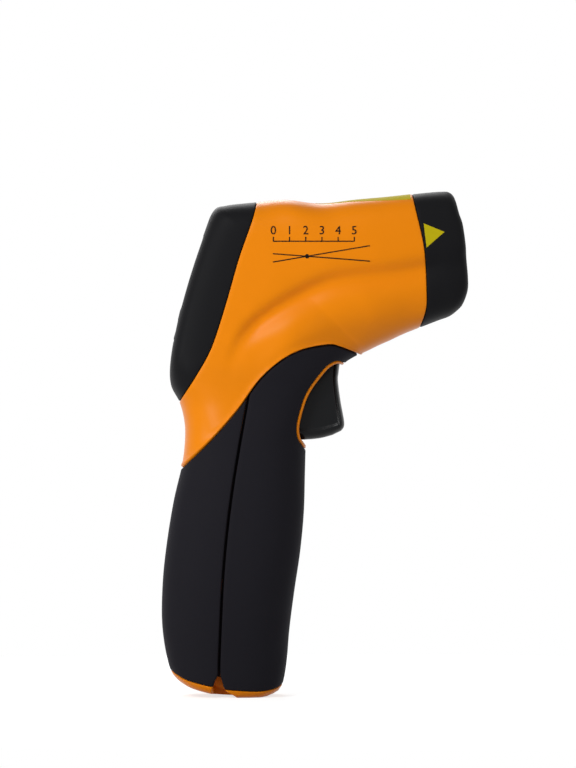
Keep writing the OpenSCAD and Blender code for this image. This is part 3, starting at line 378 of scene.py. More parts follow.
class Line:
    """A line of the side view that tells on which side a point lies, and how far off."""

    def __init__(self, points, plus):
        ends = [end + (end - inner) / np.linalg.norm(end - inner) * LINE_REACH
                for end, inner in ((points[0], points[1]), (points[-1], points[-2]))]
        self.points = np.concatenate([ends[:1], points, ends[1:]])
        self.sign = 1.0
        self.sign = math.copysign(1, self.off(np.array([plus], float))[0])

    def off(self, p):
        """Signed distance of points, positive on the side that was named."""
        return self.nearest(p)[0]

    def nearest(self, p):
        """Signed distance of points, and the way to the named side from the line's nearest place."""
        a, d = self.points[:-1], np.diff(self.points, axis=0)
        square = np.stack([-d[:, 1], d[:, 0]], 1) / np.linalg.norm(d, axis=1)[:, None]
        out, at, away = np.empty(len(p)), np.empty((len(p), 2)), np.empty((len(p), 2))
        for k in range(0, len(p), CHUNK):
            some = slice(k, k + CHUNK)
            to = p[some, None, :] - a[None]
            f = np.clip(np.sum(to * d, 2) / np.sum(d * d, 1), 0, 1)
            gap = np.linalg.norm(to - f[..., None] * d, axis=2)
            near = gap.argmin(1)
            rows = np.arange(len(near))
            turn = d[near, 0] * to[rows, near, 1] - d[near, 1] * to[rows, near, 0]
            out[some] = np.where(turn < 0, -1, 1) * gap[rows, near]
            at[some] = a[near] + f[rows, near, None] * d[near]
            away[some] = square[near] * self.sign
        out = out * self.sign
        beside = np.abs(out) > ON_LINE
        away[beside] = (p[beside] - at[beside]) / out[beside, None]
        return out, away

    def moved(self, by):
        """The line set over to its named side by a distance."""
        d = np.gradient(self.points, axis=0)
        d /= np.linalg.norm(d, axis=1)[:, None]
        return self.points + np.stack([-d[:, 1], d[:, 0]], 1) * by * self.sign


GRIP = Line(curve(GRIP_LINE), (0, 150))
BEZEL = Line(curve(BEZEL_LINE), (-60, 150))
NOSE_EDGE = Line(curve(NOSE_LINE), (60, 150))
REAR = Line(np.concatenate([curve(SEAM_LINE), SHELL_NOTCH]), (-60, 40))
AHEAD = Line(np.concatenate([curve(SEAM_LINE), DOOR_NOTCH]), (0, 40))
STRIP = Line(curve(STRIP_LINE) + [0, FOOT_STRIP_H], (-30, 40))
OPENING = Line(curve(OPENING_LINE), (-30, 100))
FOOT = Line(np.maximum(curve(FOOT_LINE), [-99, 0]), (-30, 40))
TIP = Line(curve(TIP_LINE), (0, 150))


# Bounds of places on the housing: over the grip's line, up the foot, round the trigger, behind the nose
HANDLE_OVER, FOOT_TOP, TRIGGER_LOW, TRIGGER_REAR, NOSE_REAR = 0.6, 30, 80, -12, 20


def on_handle(p):
    return GRIP.off(p) < HANDLE_OVER


def at_foot(p):
    return p[:, 1] < FOOT_TOP


def at_trigger(p):
    return (p[:, 1] > TRIGGER_LOW) & (p[:, 0] > TRIGGER_REAR)


def at_nose(p):
    return p[:, 0] > NOSE_REAR


# Edges of the moulded skins: the line, how far off it the edge lies, which way the skin goes from it,
# the radius of the edge and where on the housing it is kept
EDGES = [
    (GRIP, PARTING, 1, EDGE_R, None), (GRIP, -GRIP_GAP, -1, EDGE_R, None),
    (GRIP, -DOOR_GAP, -1, EDGE_R, None),
    (BEZEL, PARTING, 1, EDGE_R, None), (BEZEL, -PARTING, -1, EDGE_R, None),
    (NOSE_EDGE, PARTING, 1, EDGE_R, None), (NOSE_EDGE, -PARTING, -1, EDGE_R, None),
    (REAR, DOOR_GAP, 1, SEAM_R, on_handle), (AHEAD, DOOR_GAP, 1, SEAM_R, on_handle),
    (STRIP, 0, -1, FINE_R, at_foot), (STRIP, GRIP_GAP, 1, EDGE_R, at_foot),
    (OPENING, LIP_IN, 1, FINE_R, at_trigger), (OPENING, LIP_OUT, -1, FINE_R, at_trigger),
    (OPENING, LIP_OUT + GRIP_GAP, 1, EDGE_R, at_trigger),
]
# Rows of points over an edge's radius, and over the tip's
ROUND_ROWS = (0.0, 0.1, 0.3, 0.6, 1.0)
TIP_ROWS = (1.0, 0.75, 0.5, 0.25, 0.0, -0.25, -TIP_OVER)
# Grid between the edges: step between ribs, step round a rib, and how clear of the edges it keeps
RIB_STEP, GRID_STEP, GRID_CLEAR = 0.1, 1.3, 0.6
SCREW_POINTS = 36
# Lengths of a rib step and of the way round in the flat plan in which the skin is meshed
FLAT_S, FLAT_SHARE = 10.0, 85.0
# Ribs that the rear face spans, its length between two of them, and turns of the search for a place on it
FACE_RIBS, FACE_RIB_L, FACE_TURNS = (10, 17), 15, 8


def way_round(s):
    """Length of the way round at the table's row nearest to a rib place."""
    return WAY_L[int(round(s / LAST_RIB * (len(TABLE_S) - 1)))]


def face_places(rows, sides):
    """Rib places and shares of points of the rear face, given as rows up the face and distances aside."""
    s_line = np.linspace(*FACE_RIBS, 1401)
    rib = spline(RIBS, s_line)
    row_line = (rib[:, 2:4] - FACE_AT) @ FACE_UP
    order = np.argsort(row_line)
    places = []
    for row, side in zip(rows, sides):
        s = np.interp(row, row_line[order], s_line[order])
        share = 1 - abs(side) / way_round(s)
        for _ in range(FACE_TURNS):
            p = skin(np.array([s]), np.array([share]))[0]
            s += (row - (p[[0, 2]] - FACE_AT) @ FACE_UP) / FACE_RIB_L
            share = min(max(share + (p[1] - abs(side)) / way_round(s), 0), 1)
        places.append((s, share if abs(side) > 1e-6 else 1.0))
    return np.array(places)


CORNER_STEPS = 6


def rounded_box(row, side, h, w, r):
    """Outline of a box with rounded corners on the rear face, as rows and sides."""
    out = []
    for cr, cs, start in ((1, 1, 0), (-1, 1, 90), (-1, -1, 180), (1, -1, 270)):
        for k in range(CORNER_STEPS + 1):
            a = math.radians(start + 90 * k / CORNER_STEPS)
            up = row + cr * (h / 2 - r) + r * math.cos(a)
            out.append((up, side + cs * (w / 2 - r) + r * math.sin(a)))
    return np.array(out)


def dense(outline):
    """A closed outline with more points along it."""
    out = []
    for a, b in zip(outline, np.roll(outline, -1, axis=0)):
        n = max(int(np.linalg.norm(b - a) / RUN_STEP), 1)
        out += [a + (b - a) * k / n for k in range(n)]
    return np.array(out)


def off_box(rows, sides, row, side, h, w, r):
    """Signed distance from the edge of a rounded box on the rear face, negative inside."""
    dr = np.abs(rows - row) - (h / 2 - r)
    ds = np.abs(sides - side) - (w / 2 - r)
    outer = np.hypot(np.maximum(dr, 0), np.maximum(ds, 0))
    return outer + np.minimum(np.maximum(dr, ds), 0) - r


# Holes of the bezel on the right-hand half: row, side, height, width, corner radius
FACE_HOLES = [
    (WINDOW_ROW, 0, WINDOW_H + 2 * PARTING, WINDOW_W + 2 * PARTING, WINDOW_R),
    (BUTTON_ROW, 0, BUTTON_H + 2 * SLIDE_FIT, BUTTON_W + 2 * SLIDE_FIT, BUTTON_R),
    (BUTTON_ROW, BUTTON_PITCH, BUTTON_H + 2 * SLIDE_FIT, BUTTON_W + 2 * SLIDE_FIT, BUTTON_R),
]
HOLE_ROUND = 0.5


def off_screws(points):
    """Distance of points of the side view from the edge of the nearest screw hole, negative inside."""
    return np.linalg.norm(points[:, None] - SCREW_PLACES[None], axis=2).min(1) - SCREW_HOLE_R


def places_of(points):
    """Rib places and shares of points of the side view."""
    found = locate(np.asarray(points, float))
    return np.stack([found[:, 0], share_of(found[:, 0], found[:, 1])], 1)


def tree_of(points):
    """A search tree of points."""
    tree = KDTree(len(points))
    for k, p in enumerate(points):
        tree.insert(p, k)
    tree.balance()
    return tree


def circle(middle, radius, count):
    """Points round a circle."""
    turn = np.linspace(0, 2 * math.pi, count, endpoint=False)
    return np.array(middle) + radius * np.stack([np.cos(turn), np.sin(turn)], 1)


def hole_outline(hole, grow):
    """Outline of a hole of the bezel, grown; only its right-hand half where the hole lies on the middle."""
    row, side, h, w, r = hole
    outline = dense(rounded_box(row, side, h + 2 * grow, w + 2 * grow, r + grow))
    if side == 0:
        body = outline[outline[:, 1] > 1e-6]
        body = body[np.argsort(np.arctan2(body[:, 1], body[:, 0] - row))]
        outline = np.concatenate([[[row + h / 2 + grow, 0]], body, [[row - h / 2 - grow, 0]]])
    return outline


def add_run(points, edges, run, closed=False):
    """Adds a run of points, and the edges along it."""
    first = len(points)
    points.extend(map(tuple, run))
    last = len(points)
    edges.extend((k, k + 1) for k in range(first, last - 1))
    if closed:
        edges.append((last - 1, first))


def mesh_skin():
    """One triangle mesh of half the housing, with every edge of a moulding in it: places and triangles."""
    points, edges = [], []
    lines = [(line.moved(off + way * row * radius), keep)
             for line, off, way, radius, keep in EDGES for row in ROUND_ROWS]
    lines += [(TIP.moved(row * TIP_ROUND), at_nose) for row in TIP_ROWS]
    for line, keep in lines:
        for run in trace(line, keep):
            add_run(points, edges, run)
    for hole in FACE_HOLES:
        for row in ROUND_ROWS:
            outline = hole_outline(hole, row * HOLE_ROUND)
            add_run(points, edges, face_places(*outline.T), closed=hole[1] != 0)
    for middle in SCREW_PLACES:
        for row in ROUND_ROWS:
            ring = circle(middle, SCREW_HOLE_R + row * SCREW_ROUND, SCREW_POINTS)
            add_run(points, edges, places_of(ring), closed=True)
    s_edge = np.arange(0, LAST_RIB + RIB_STEP / 2, RIB_STEP)
    for row in ROUND_ROWS:
        room = FINE_R * row / np.interp(s_edge, TABLE_S, WAY_L)
        for share in (room, 1 - room):
            add_run(points, edges, np.stack([s_edge, share], 1))
    taken = tree_of(skin(*np.array(points).T))
    grid = []
    for k, s in enumerate(np.arange(0, LAST_RIB + RIB_STEP / 10, RIB_STEP)):
        n = int(np.interp(s, TABLE_S, WAY_L) / GRID_STEP)
        shares = (np.arange(1, n) + 0.5 * (k % 2)) / n
        grid += [(s, c) for c in shares if c < 1]
    grid = np.array(grid)
    clear = [taken.find(p)[2] > GRID_CLEAR for p in skin(grid[:, 0], grid[:, 1])]
    points.extend(map(tuple, grid[clear]))
    flat = [Vector((s * FLAT_S, c * FLAT_SHARE)) for s, c in points]
    verts, _, faces, *_ = delaunay_2d_cdt(flat, edges, [], 0, 1e-5)
    places = np.array([(v[0] / FLAT_S, v[1] / FLAT_SHARE) for v in verts])
    places = np.clip(places, 0, [LAST_RIB, 1])
    return places, np.array([f for f in faces if len(f) == 3])


PLACES, TRIANGLES = mesh_skin()
SKIN = skin(PLACES[:, 0], PLACES[:, 1])
NORMALS = skin_normals(PLACES[:, 0], PLACES[:, 1])


def face_out():
    """Turns the triangles so that they all face outward."""
    a, b, c = (SKIN[TRIANGLES[:, k]] for k in range(3))
    turned = np.sum(np.cross(b - a, c - a) * NORMALS[TRIANGLES].sum(1), 1) < 0
    TRIANGLES[turned] = TRIANGLES[turned][:, ::-1]


face_out()
SIDE_VIEW = SKIN[:, [0, 2]].copy()
MIDDLES = SIDE_VIEW[TRIANGLES].mean(1)
ROWS = (SIDE_VIEW - FACE_AT) @ FACE_UP
LINES = (GRIP, BEZEL, NOSE_EDGE, REAR, AHEAD, STRIP, OPENING, TIP)
OFF = {line: line.off(SIDE_VIEW) for line in LINES}
MID = {line: line.off(MIDDLES) for line in LINES}
WAY = np.interp(PLACES[:, 0], TABLE_S, WAY_L)
FROM_MIDDLE = np.minimum(PLACES[:, 1], 1 - PLACES[:, 1]) * WAY

HEAD_ZONE = (MID[GRIP] > PARTING) & (MID[BEZEL] < -PARTING) & (MID[NOSE_EDGE] < -PARTING)
BEZEL_ZONE = MID[BEZEL] > PARTING
NOSE_ZONE = (MID[NOSE_EDGE] > PARTING) & (MID[TIP] > -TIP_OVER * TIP_ROUND) & at_nose(MIDDLES)
BEHIND = (MID[GRIP] < -GRIP_GAP) & (MID[REAR] > DOOR_GAP)
BEFORE = (MID[GRIP] < -DOOR_GAP) & (MID[AHEAD] > DOOR_GAP) & (MID[OPENING] > LIP_IN)
BARE_FOOT = MID[STRIP] < 0
COVERED = MID[STRIP] > GRIP_GAP
NO_SCREW = off_screws(MIDDLES) > 0
tri_rows = ROWS[TRIANGLES].mean(1)
tri_sides = SKIN[TRIANGLES][:, :, 1].mean(1)
for hole in FACE_HOLES:
    BEZEL_ZONE &= off_box(tri_rows, tri_sides, *hole) > 0

# Share of the way to the middle plane that a rolled point may go at most, the way where there is no limit,
# and the times that it is set back to its distance from the line
MOST_ASIDE, NO_LIMIT, ROLL_TURNS = 0.9, 99.0, 3


def roll(line, radius, where):
    """Rolls the skin near a line over a round edge on to the end face behind it."""
    off, away = line.nearest(SIDE_VIEW)
    over = (off < radius) & where
    gone = np.maximum(radius - off, 0)
    turn = np.minimum(gone / radius, math.pi / 2)
    inward = np.stack([away[:, 0], np.zeros(len(away)), away[:, 1]], 1)
    across = NORMALS - np.sum(NORMALS * inward, 1)[:, None] * inward
    aside = radius * (1 - np.cos(turn)) + np.maximum(gone - radius * math.pi / 2, 0)
    room = MOST_ASIDE * SKIN[:, 1] / np.maximum(across[:, 1], 1e-6)
    aside = np.minimum(aside, np.where(SKIN[:, 1] < 1e-6, NO_LIMIT, room))
    wanted = radius * (1 - np.sin(turn))
    moved = SKIN + inward * (wanted - off)[:, None] - across * aside[:, None]
    for _ in range(ROLL_TURNS):
        now, back = line.nearest(moved[:, [0, 2]])
        moved[:, [0, 2]] += back * (wanted - now)[:, None] * over[:, None]
    facing = across * np.cos(turn)[:, None] - inward * np.sin(turn)[:, None]
    facing /= np.maximum(np.linalg.norm(facing, axis=1), 1e-6)[:, None]
    moved[:, 1] = np.maximum(moved[:, 1], 0)
    SKIN[over] = moved[over]
    NORMALS[over] = facing[over]


roll(FOOT, FOOT_ROUND, at_foot(SIDE_VIEW))
roll(TIP, TIP_ROUND, at_nose(SIDE_VIEW))


def drop(off, radius):
    """How far a rounded edge lies below the skin at a distance from that edge."""
    d = np.clip(off, 0, radius)
    return radius - np.sqrt(np.maximum(radius ** 2 - (radius - d) ** 2, 0))


def new_object(name, data):
    """A new object in the scene."""
    obj = bpy.data.objects.new(name, data)
    bpy.context.scene.collection.objects.link(obj)
    return obj


def put_piece(name, mesh, body, node):
    """A piece of the part: what it rides on, which node it stands for, if any."""
    obj = new_object(name, mesh)
    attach(obj, body)
    if node:
        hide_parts(node)


SHARP_DEGREES = 38


def mesh_piece(name, verts, faces, body, node, slot, finish=None):
    """A piece from millimetre points, smooth but for its sharp edges, in its slot's finish or another."""
    mesh = bpy.data.meshes.new(name)
    mesh.from_pydata([tuple(v) for v in np.asarray(verts) * MM], [], [tuple(map(int, f)) for f in faces])
    mesh.materials.append(FINISH[finish or slot])
    mesh.polygons.foreach_set("use_smooth", np.ones(len(mesh.polygons), bool))
    mesh.validate()
    mesh.set_sharp_from_angle(angle=math.radians(SHARP_DEGREES))
    mesh.update()
    put_piece(name, mesh, body, node)


def border(faces):
    """The directed edges that only one face has."""
    seen = {}
    for f in faces:
        for a, b in zip(f, list(f[1:]) + [f[0]]):
            seen[(a, b)] = True
    return [e for e in seen if (e[1], e[0]) not in seen]


def closed_shell(verts, normals, faces, thickness):
    """Outer faces with an inner layer and a rim between them."""
    n = len(verts)
    inner = verts - normals * thickness
    out = [tuple(f) for f in faces] + [tuple(v + n for v in reversed(f)) for f in faces]
    out += [(b, a, a + n, b + n) for a, b in border(faces)]
    return np.concatenate([verts, inner]), out


def mirrored(verts, normals, faces):
    """The other half of a piece."""
    return verts * [1, -1, 1], normals * [1, -1, 1], [tuple(reversed(f)) for f in faces]


def welded(verts, normals, faces):
    """Both halves of a piece, joined at the middle plane."""
    n = len(verts)
    other = np.arange(n) + n
    on_middle = np.abs(verts[:, 1]) < 1e-6
    other[on_middle] = np.nonzero(on_middle)[0]
    m_verts, m_normals, m_faces = mirrored(verts, normals, faces)
    m_faces = [tuple(int(other[v]) for v in f) for f in m_faces]
    return np.concatenate([verts, m_verts]), np.concatenate([normals, m_normals]), list(faces) + m_faces


def compact(verts, normals, faces):
    """The same faces with only the points that they use."""
    used = sorted({v for f in faces for v in f})
    index = {v: k for k, v in enumerate(used)}
    return verts[used], normals[used], [tuple(index[v] for v in f) for f in faces]


# Fine bead along the shell's edge over the grip: how far off the line, its half width and its height
BEAD_OFF, BEAD_HALF_W, BEAD = 0.5, 0.28, 0.35


def zone(mask, edges, split=False, screws=False, bead=0.0):
    """Half of a moulded skin at +Y: its points with rounded edges, their normals and its faces."""
    sunk = np.zeros(len(SKIN))
    if screws:
        sunk = drop(off_screws(SIDE_VIEW), SCREW_ROUND)
        mask = mask & NO_SCREW
    for line, off, way, radius in edges:
        sunk = np.maximum(sunk, drop((OFF[line] - off) * way, radius))
    if split:
        sunk = np.maximum(sunk, drop(FROM_MIDDLE, FINE_R))
    sunk -= bead * np.exp(-((OFF[GRIP] - BEAD_OFF) / BEAD_HALF_W) ** 2)
    verts = SKIN - NORMALS * sunk[:, None]
    return compact(verts, NORMALS, [tuple(map(int, f)) for f in TRIANGLES[mask]])


def points_of(mask):
    """The points of the skin that a zone uses, in the order of the zone's own points."""
    return sorted({v for f in TRIANGLES[mask] for v in f})


def grid_faces(rows, columns):
    """Quads of a grid of points that runs row after row."""
    corners = [i * columns + j for i in range(rows - 1) for j in range(columns - 1)]
    return [(a, a + 1, a + 1 + columns, a + columns) for a in corners]


def band(a, b, n):
    """Quads between two closed rows of n points each."""
    return [(a * n + i, a * n + (i + 1) % n, b * n + (i + 1) % n, b * n + i) for i in range(n)]


def weld_close(verts, normals, faces, room=0.004):
    """Joins points that lie on each other."""
    tree = tree_of(verts)
    index = []
    for k, v in enumerate(verts):
        first = min(near for _, near, _ in tree.find_range(v, room))
        index.append(index[first] if first < k else k)
    joint = [tuple(dict.fromkeys(index[v] for v in f)) for f in faces]
    return compact(verts, normals, [f for f in joint if len(f) > 2])


def turned_out(verts, normals, faces):
    """The same faces, turned the way of their normals; one too thin to tell turns as the last did."""
    out, facing = [], 1.0
    for f in faces:
        a, b, c = (verts[v] for v in f[:3])
        side = np.dot(np.cross(b - a, c - a), normals[f[0]])
        if abs(side) > 0.01:
            facing = side
        out.append(f if facing > 0 else f[::-1])
    return verts, normals, out


def sheet(rows, proud, mirror=1.0):
    """A grid of points set off the skin, from rows of rib places and shares: points, normals and faces."""
    verts, normals = on_skin(np.concatenate(rows), proud, mirror)
    return turned_out(verts, normals, grid_faces(len(rows), len(rows[0])))


def sided(name, part, slot, thickness, left, right=None):
    """The two separate halves of a piece; the right one at -Y mirrors the left one unless it is given."""
    for side, data in (("right", mirrored(*(right or left))), ("left", left)):
        verts, faces = closed_shell(*data, thickness)
        mesh_piece(f"{side}_{name}", verts, faces, "housing", f"{side}_{part}", slot)


def whole(name, body, node, slot, thickness, half):
    """One piece over both sides."""
    verts, faces = closed_shell(*weld_close(*welded(*half)), thickness)
    mesh_piece(name, verts, faces, body, node, slot)


# Materials

# A plastic's unevenness: size of its clouds in mm, their detail, how far gloss and tint go to either side,
# and half the part of the clouds' range over which the tint turns
CLOUD_SIZE, CLOUD_DEPTH, ROUGH_SPREAD, TINT_SPREAD, TINT_HALF = 7.0, 3, 0.08, 0.012, 0.25
GRAIN_DEPTH = 0.05
GLASS_ROUGH, GLASS_IOR = 0.03, 1.45
# Moulded finishes: screen colour, roughness, grain, grain size in mm, coat and specular level
PLASTICS = {
    "orange_plastic": ((233, 132, 2), 0.33, 0.05, 0.22, 0, 0.13),
    "black_plastic": ((19, 19, 21), 0.5, 0.1, 0.22, 0, 0.06),
    "soft_grip": ((29, 28, 33), 0.7, 0.1, 0.16, 0, 0.05),
    "trigger_plastic": ((19, 20, 22), 0.22, 0.02, 0.4, 0, 0.12),
    "button_rubber": ((50, 50, 52), 0.62, 0.1, 0.15, 0, 0.1),
    "dark_component": ((24, 24, 26), 0.45, 0.05),
    # Yellow of the top plate and the nose's arrowhead: the label's yellow, darkened to olive by painted
    # shade
    "plate_yellow": ((186, 170, 16), 0.6, 0, 1, 0, 0.05),
    "print_ink": ((24, 22, 20), 0.6, 0, 1, 0, 0.05),
    "circuit_board": ((20, 88, 42), 0.35, 0, 1, 0.3),
    "lcd_glass": ((158, 170, 150), 0.22),
    "backlight_white": ((236, 236, 230), 0.4),
    "contact_rubber": ((120, 120, 130), 0.6),
    "red_plastic": ((170, 44, 32), 0.4),
    "battery_case": ((66, 70, 80), 0.32, 0, 1, 0.2),
    "foam": ((58, 58, 62), 0.95, 0.6, 0.5),
    "wire_red": ((170, 22, 18), 0.4),
    "wire_black": ((18, 18, 18), 0.4),
    "wire_blue": ((34, 56, 150), 0.4),
    "ribbon_amber": ((190, 112, 36), 0.3, 0, 1, 0.3),
    "lens_dark": ((40, 36, 44), 0.08, 0, 1, 1.0),
}
METALS = {
    "steel": ((200, 200, 202), 0.28),
    "sensor_can": ((214, 170, 84), 0.25),
    "laser_brass": ((205, 166, 88), 0.3),
}
GLASSES = {"window_clear": (235, 240, 240), "laser_clear": (190, 60, 54)}


def linear(r, g, b):
    """Linear colour from 8-bit screen values."""
    return tuple((c / 255 / 12.92) if c < 10.3 else ((c / 255 + 0.055) / 1.055) ** 2.4 for c in (r, g, b))


def set_values(node, values):
    """Sets values on a node's input sockets and returns the node."""
    for socket, value in values.items():
        node.inputs[socket].default_value = value
    return node


def shader(name, colour, values):
    """A new material and its shader, with a colour and values on the shader's sockets."""
    mat = bpy.data.materials.new(name)
    mat.use_nodes = True
    return mat, set_values(mat.node_tree.nodes["Principled BSDF"], {"Base Color": (*colour, 1), **values})


def plastic(name, colour, rough, grain=0.0, grain_size=0.25, coat=0.0, specular=0.5, uneven=True):
    """A moulded plastic: a fine sparked grain, and a colour and a gloss that are a little uneven."""
    values = {"Roughness": rough, "Coat Weight": coat, "Specular IOR Level": specular}
    mat, bsdf = shader(name, colour, values)
    nodes, links = mat.node_tree.nodes, mat.node_tree.links
    coords = nodes.new("ShaderNodeTexCoord")
    if uneven:
        cloud = set_values(nodes.new("ShaderNodeTexNoise"),
                           {"Scale": 1 / (CLOUD_SIZE * MM), "Detail": CLOUD_DEPTH})
        links.new(coords.outputs["Object"], cloud.inputs["Vector"])
        tint = nodes.new("ShaderNodeValToRGB")
        for end, way in zip(tint.color_ramp.elements, (-1, 1)):
            end.position = 0.5 + way * TINT_HALF
            end.color = (*(c * (1 + way * TINT_SPREAD) for c in colour), 1)
        links.new(cloud.outputs["Fac"], tint.inputs["Fac"])
        links.new(tint.outputs["Color"], bsdf.inputs["Base Color"])
        gloss = set_values(nodes.new("ShaderNodeMapRange"),
                           {"To Min": rough * (1 - ROUGH_SPREAD), "To Max": rough * (1 + ROUGH_SPREAD)})
        links.new(cloud.outputs["Fac"], gloss.inputs["Value"])
        links.new(gloss.outputs["Result"], bsdf.inputs["Roughness"])
    if grain > 0:
        noise = set_values(nodes.new("ShaderNodeTexNoise"), {"Scale": 1 / (grain_size * MM), "Detail": 2})
        bump = set_values(nodes.new("ShaderNodeBump"), {"Strength": grain, "Distance": GRAIN_DEPTH * MM})
        links.new(coords.outputs["Object"], noise.inputs["Vector"])
        links.new(noise.outputs["Fac"], bump.inputs["Height"])
        links.new(bump.outputs["Normal"], bsdf.inputs["Normal"])
    return mat


FINISH = {name: plastic(name, linear(*rgb), *rest) for name, (rgb, *rest) in PLASTICS.items()}
for name, (rgb, rough) in METALS.items():
    FINISH[name], _ = shader(name, linear(*rgb), {"Metallic": 1, "Roughness": rough})
for name, rgb in GLASSES.items():
    glass = {"Roughness": GLASS_ROUGH, "Transmission Weight": 1, "IOR": GLASS_IOR}
    FINISH[name], _ = shader(name, linear(*rgb), glass)
for part in frame["record"]["subparts"]:
    node = frame["nodes"][part["node"]]
    node.data.materials.clear()
    node.data.materials.append(FINISH[part["material_slot"]])


# Foot and nose: the end faces that close the skins


UNDER_ROWS = 8


def add_grid(verts, normals, faces, first, rows, facing, flip):
    """Adds rows of points after the chain of first points, as quads."""
    previous = list(first)
    for k in range(rows.shape[1]):
        start = len(verts)
        verts = np.concatenate([verts, rows[:, k]])
        normals = np.concatenate([normals, facing[:, k]])
        now = list(range(start, start + len(rows)))
        for i in range(len(now) - 1):
            quad = (previous[i], previous[i + 1], now[i + 1], now[i])
            faces.append(quad[::-1] if flip else quad)
        previous = now
    return verts, normals, faces


def foot_height(x):
    """Height of the foot's line at places along X."""
    return np.interp(x, FOOT.points[:, 0], FOOT.points[:, 1])


def foot_half(mask, edges, split):
    """Half of a bare foot: its side strip and the underside to the middle plane."""
    verts, normals, faces = zone(mask, edges, split)
    places = PLACES[points_of(mask)]
    order = sorted(np.nonzero(np.abs(places[:, 0]) < 1e-6)[0], key=lambda v: -places[v, 1])
    start = verts[order]
    middle_x = np.linspace(start[0, 0], start[-1, 0], len(order))
    lift = start[:, 2] - foot_height(start[:, 0])
    rows = []
    for f in np.arange(1, UNDER_ROWS + 1) / UNDER_ROWS:
        x = start[:, 0] + (middle_x - start[:, 0]) * f
        rows.append(np.stack([x, start[:, 1] * (1 - f), foot_height(x) + lift * (1 - f)], 1))
    facing = np.tile([0, 0, -1.0], (len(order), UNDER_ROWS, 1))
    return weld_close(*add_grid(verts, normals, faces, order, np.stack(rows, 1), facing, False))


TIP_WAY = way_along(TIP.points)


def tip_point(y, way):
    """Points of the end face of the nose at a distance aside and a way up its line."""
    x, z = (np.interp(way, TIP_WAY, TIP.points[:, k]) for k in range(2))
    return np.stack([x, y, z], 1)


def tip_way(points):
    """Way up the end face's line of points near it."""
    to = points[:, None, [0, 2]] - TIP.points[None]
    near = np.clip(np.sum(to * to, 2).argmin(1), 1, len(TIP_WAY) - 2)
    run = TIP.points[near + 1] - TIP.points[near - 1]
    step = np.sum((points[:, [0, 2]] - TIP.points[near]) * run, 1) / np.linalg.norm(run, axis=1)
    return TIP_WAY[near] + step


MOUTH_TURNS = 8


def mouth(radius, rise, count):
    """Half of a round hole's edge on the end face: points, top to bottom, and how far ahead each is."""
    out, ahead = [], []
    for k in range(count + 1):
        a = math.pi / 2 - math.pi * k / count
        along = 0.0
        for _ in range(MOUTH_TURNS):
            p = SIGHT_AT + SIGHT_UP * (rise + radius * math.sin(a)) + SIGHT_AHEAD * along
            along += np.interp(p[1], TIP.points[:, 1], TIP.points[:, 0]) - p[0]
        out.append((p[0], radius * math.cos(a) if 0 < k < count else 0.0, p[1]))
        ahead.append(along)
    return np.array(out), np.array(ahead)


def bore_rows(ahead, rise, profile, depth):
    """Rows of points down a round hole, by a profile of depths and radii, to its depth at the end."""
    count = len(ahead) - 1
    a = math.pi / 2 - math.pi * np.arange(count + 1) / count
    rows = []
    for behind, radius in profile:
        along = np.maximum(ahead - behind, -depth) if behind < depth else np.full(count + 1, -depth)
        p = SIGHT_AT + np.outer(rise + radius * np.sin(a), SIGHT_UP) + np.outer(along, SIGHT_AHEAD)
        y = radius * np.cos(a)
        y[[0, -1]] = 0
        rows.append(np.stack([p[:, 0], y, p[:, 1]], 1))
    return np.transpose(np.array(rows), (1, 0, 2))


LENS_MOUTH_R = LENS_D / 2 + 1.6
LASER_MOUTH_R = LASER_PORT_R + 0.5
# Down each hole: depths behind its mouth and the radii there
LENS_PROFILE = [(0.15, LENS_MOUTH_R - 0.5), (0.5, LENS_MOUTH_R - 1.0), (1.0, LENS_MOUTH_R - 1.25),
                (2.0, LENS_D / 2 + 0.3), (9, LENS_D / 2 + 0.25)]
LASER_PROFILE = [(0.1, LASER_MOUTH_R - 0.2), (0.4, LASER_PORT_R + 0.1), (9, LASER_PORT_R)]
# Lens recess and laser port: radius of the mouth, rise, points round half of it, depth and profile
BORES = [(LENS_MOUTH_R, 0, 48, RECESS_L + 1, LENS_PROFILE),
         (LASER_MOUTH_R, LASER_RISE, 24, 5.5, LASER_PROFILE)]
# Wall round the bores, as a share of the nose's thickness
BORE_WALL = 0.3
# Share of the tip's radius past which a point is on the skin's end, and the room within which points join
TIP_END, TIP_WELD = 0.56, 0.02
# Points of each stretch of the end face's middle line
MIDDLE_POINTS = 6
FORWARD = np.array([1.0, 0, 0])


def inside(p, ring):
    """True if a point lies in a closed outline."""
    hit = False
    for (ax, ay), (bx, by) in zip(ring, ring[1:] + ring[:1]):
        if (ay > p[1]) != (by > p[1]) and p[0] < (bx - ax) * (p[1] - ay) / (by - ay) + ax:
            hit = not hit
    return hit


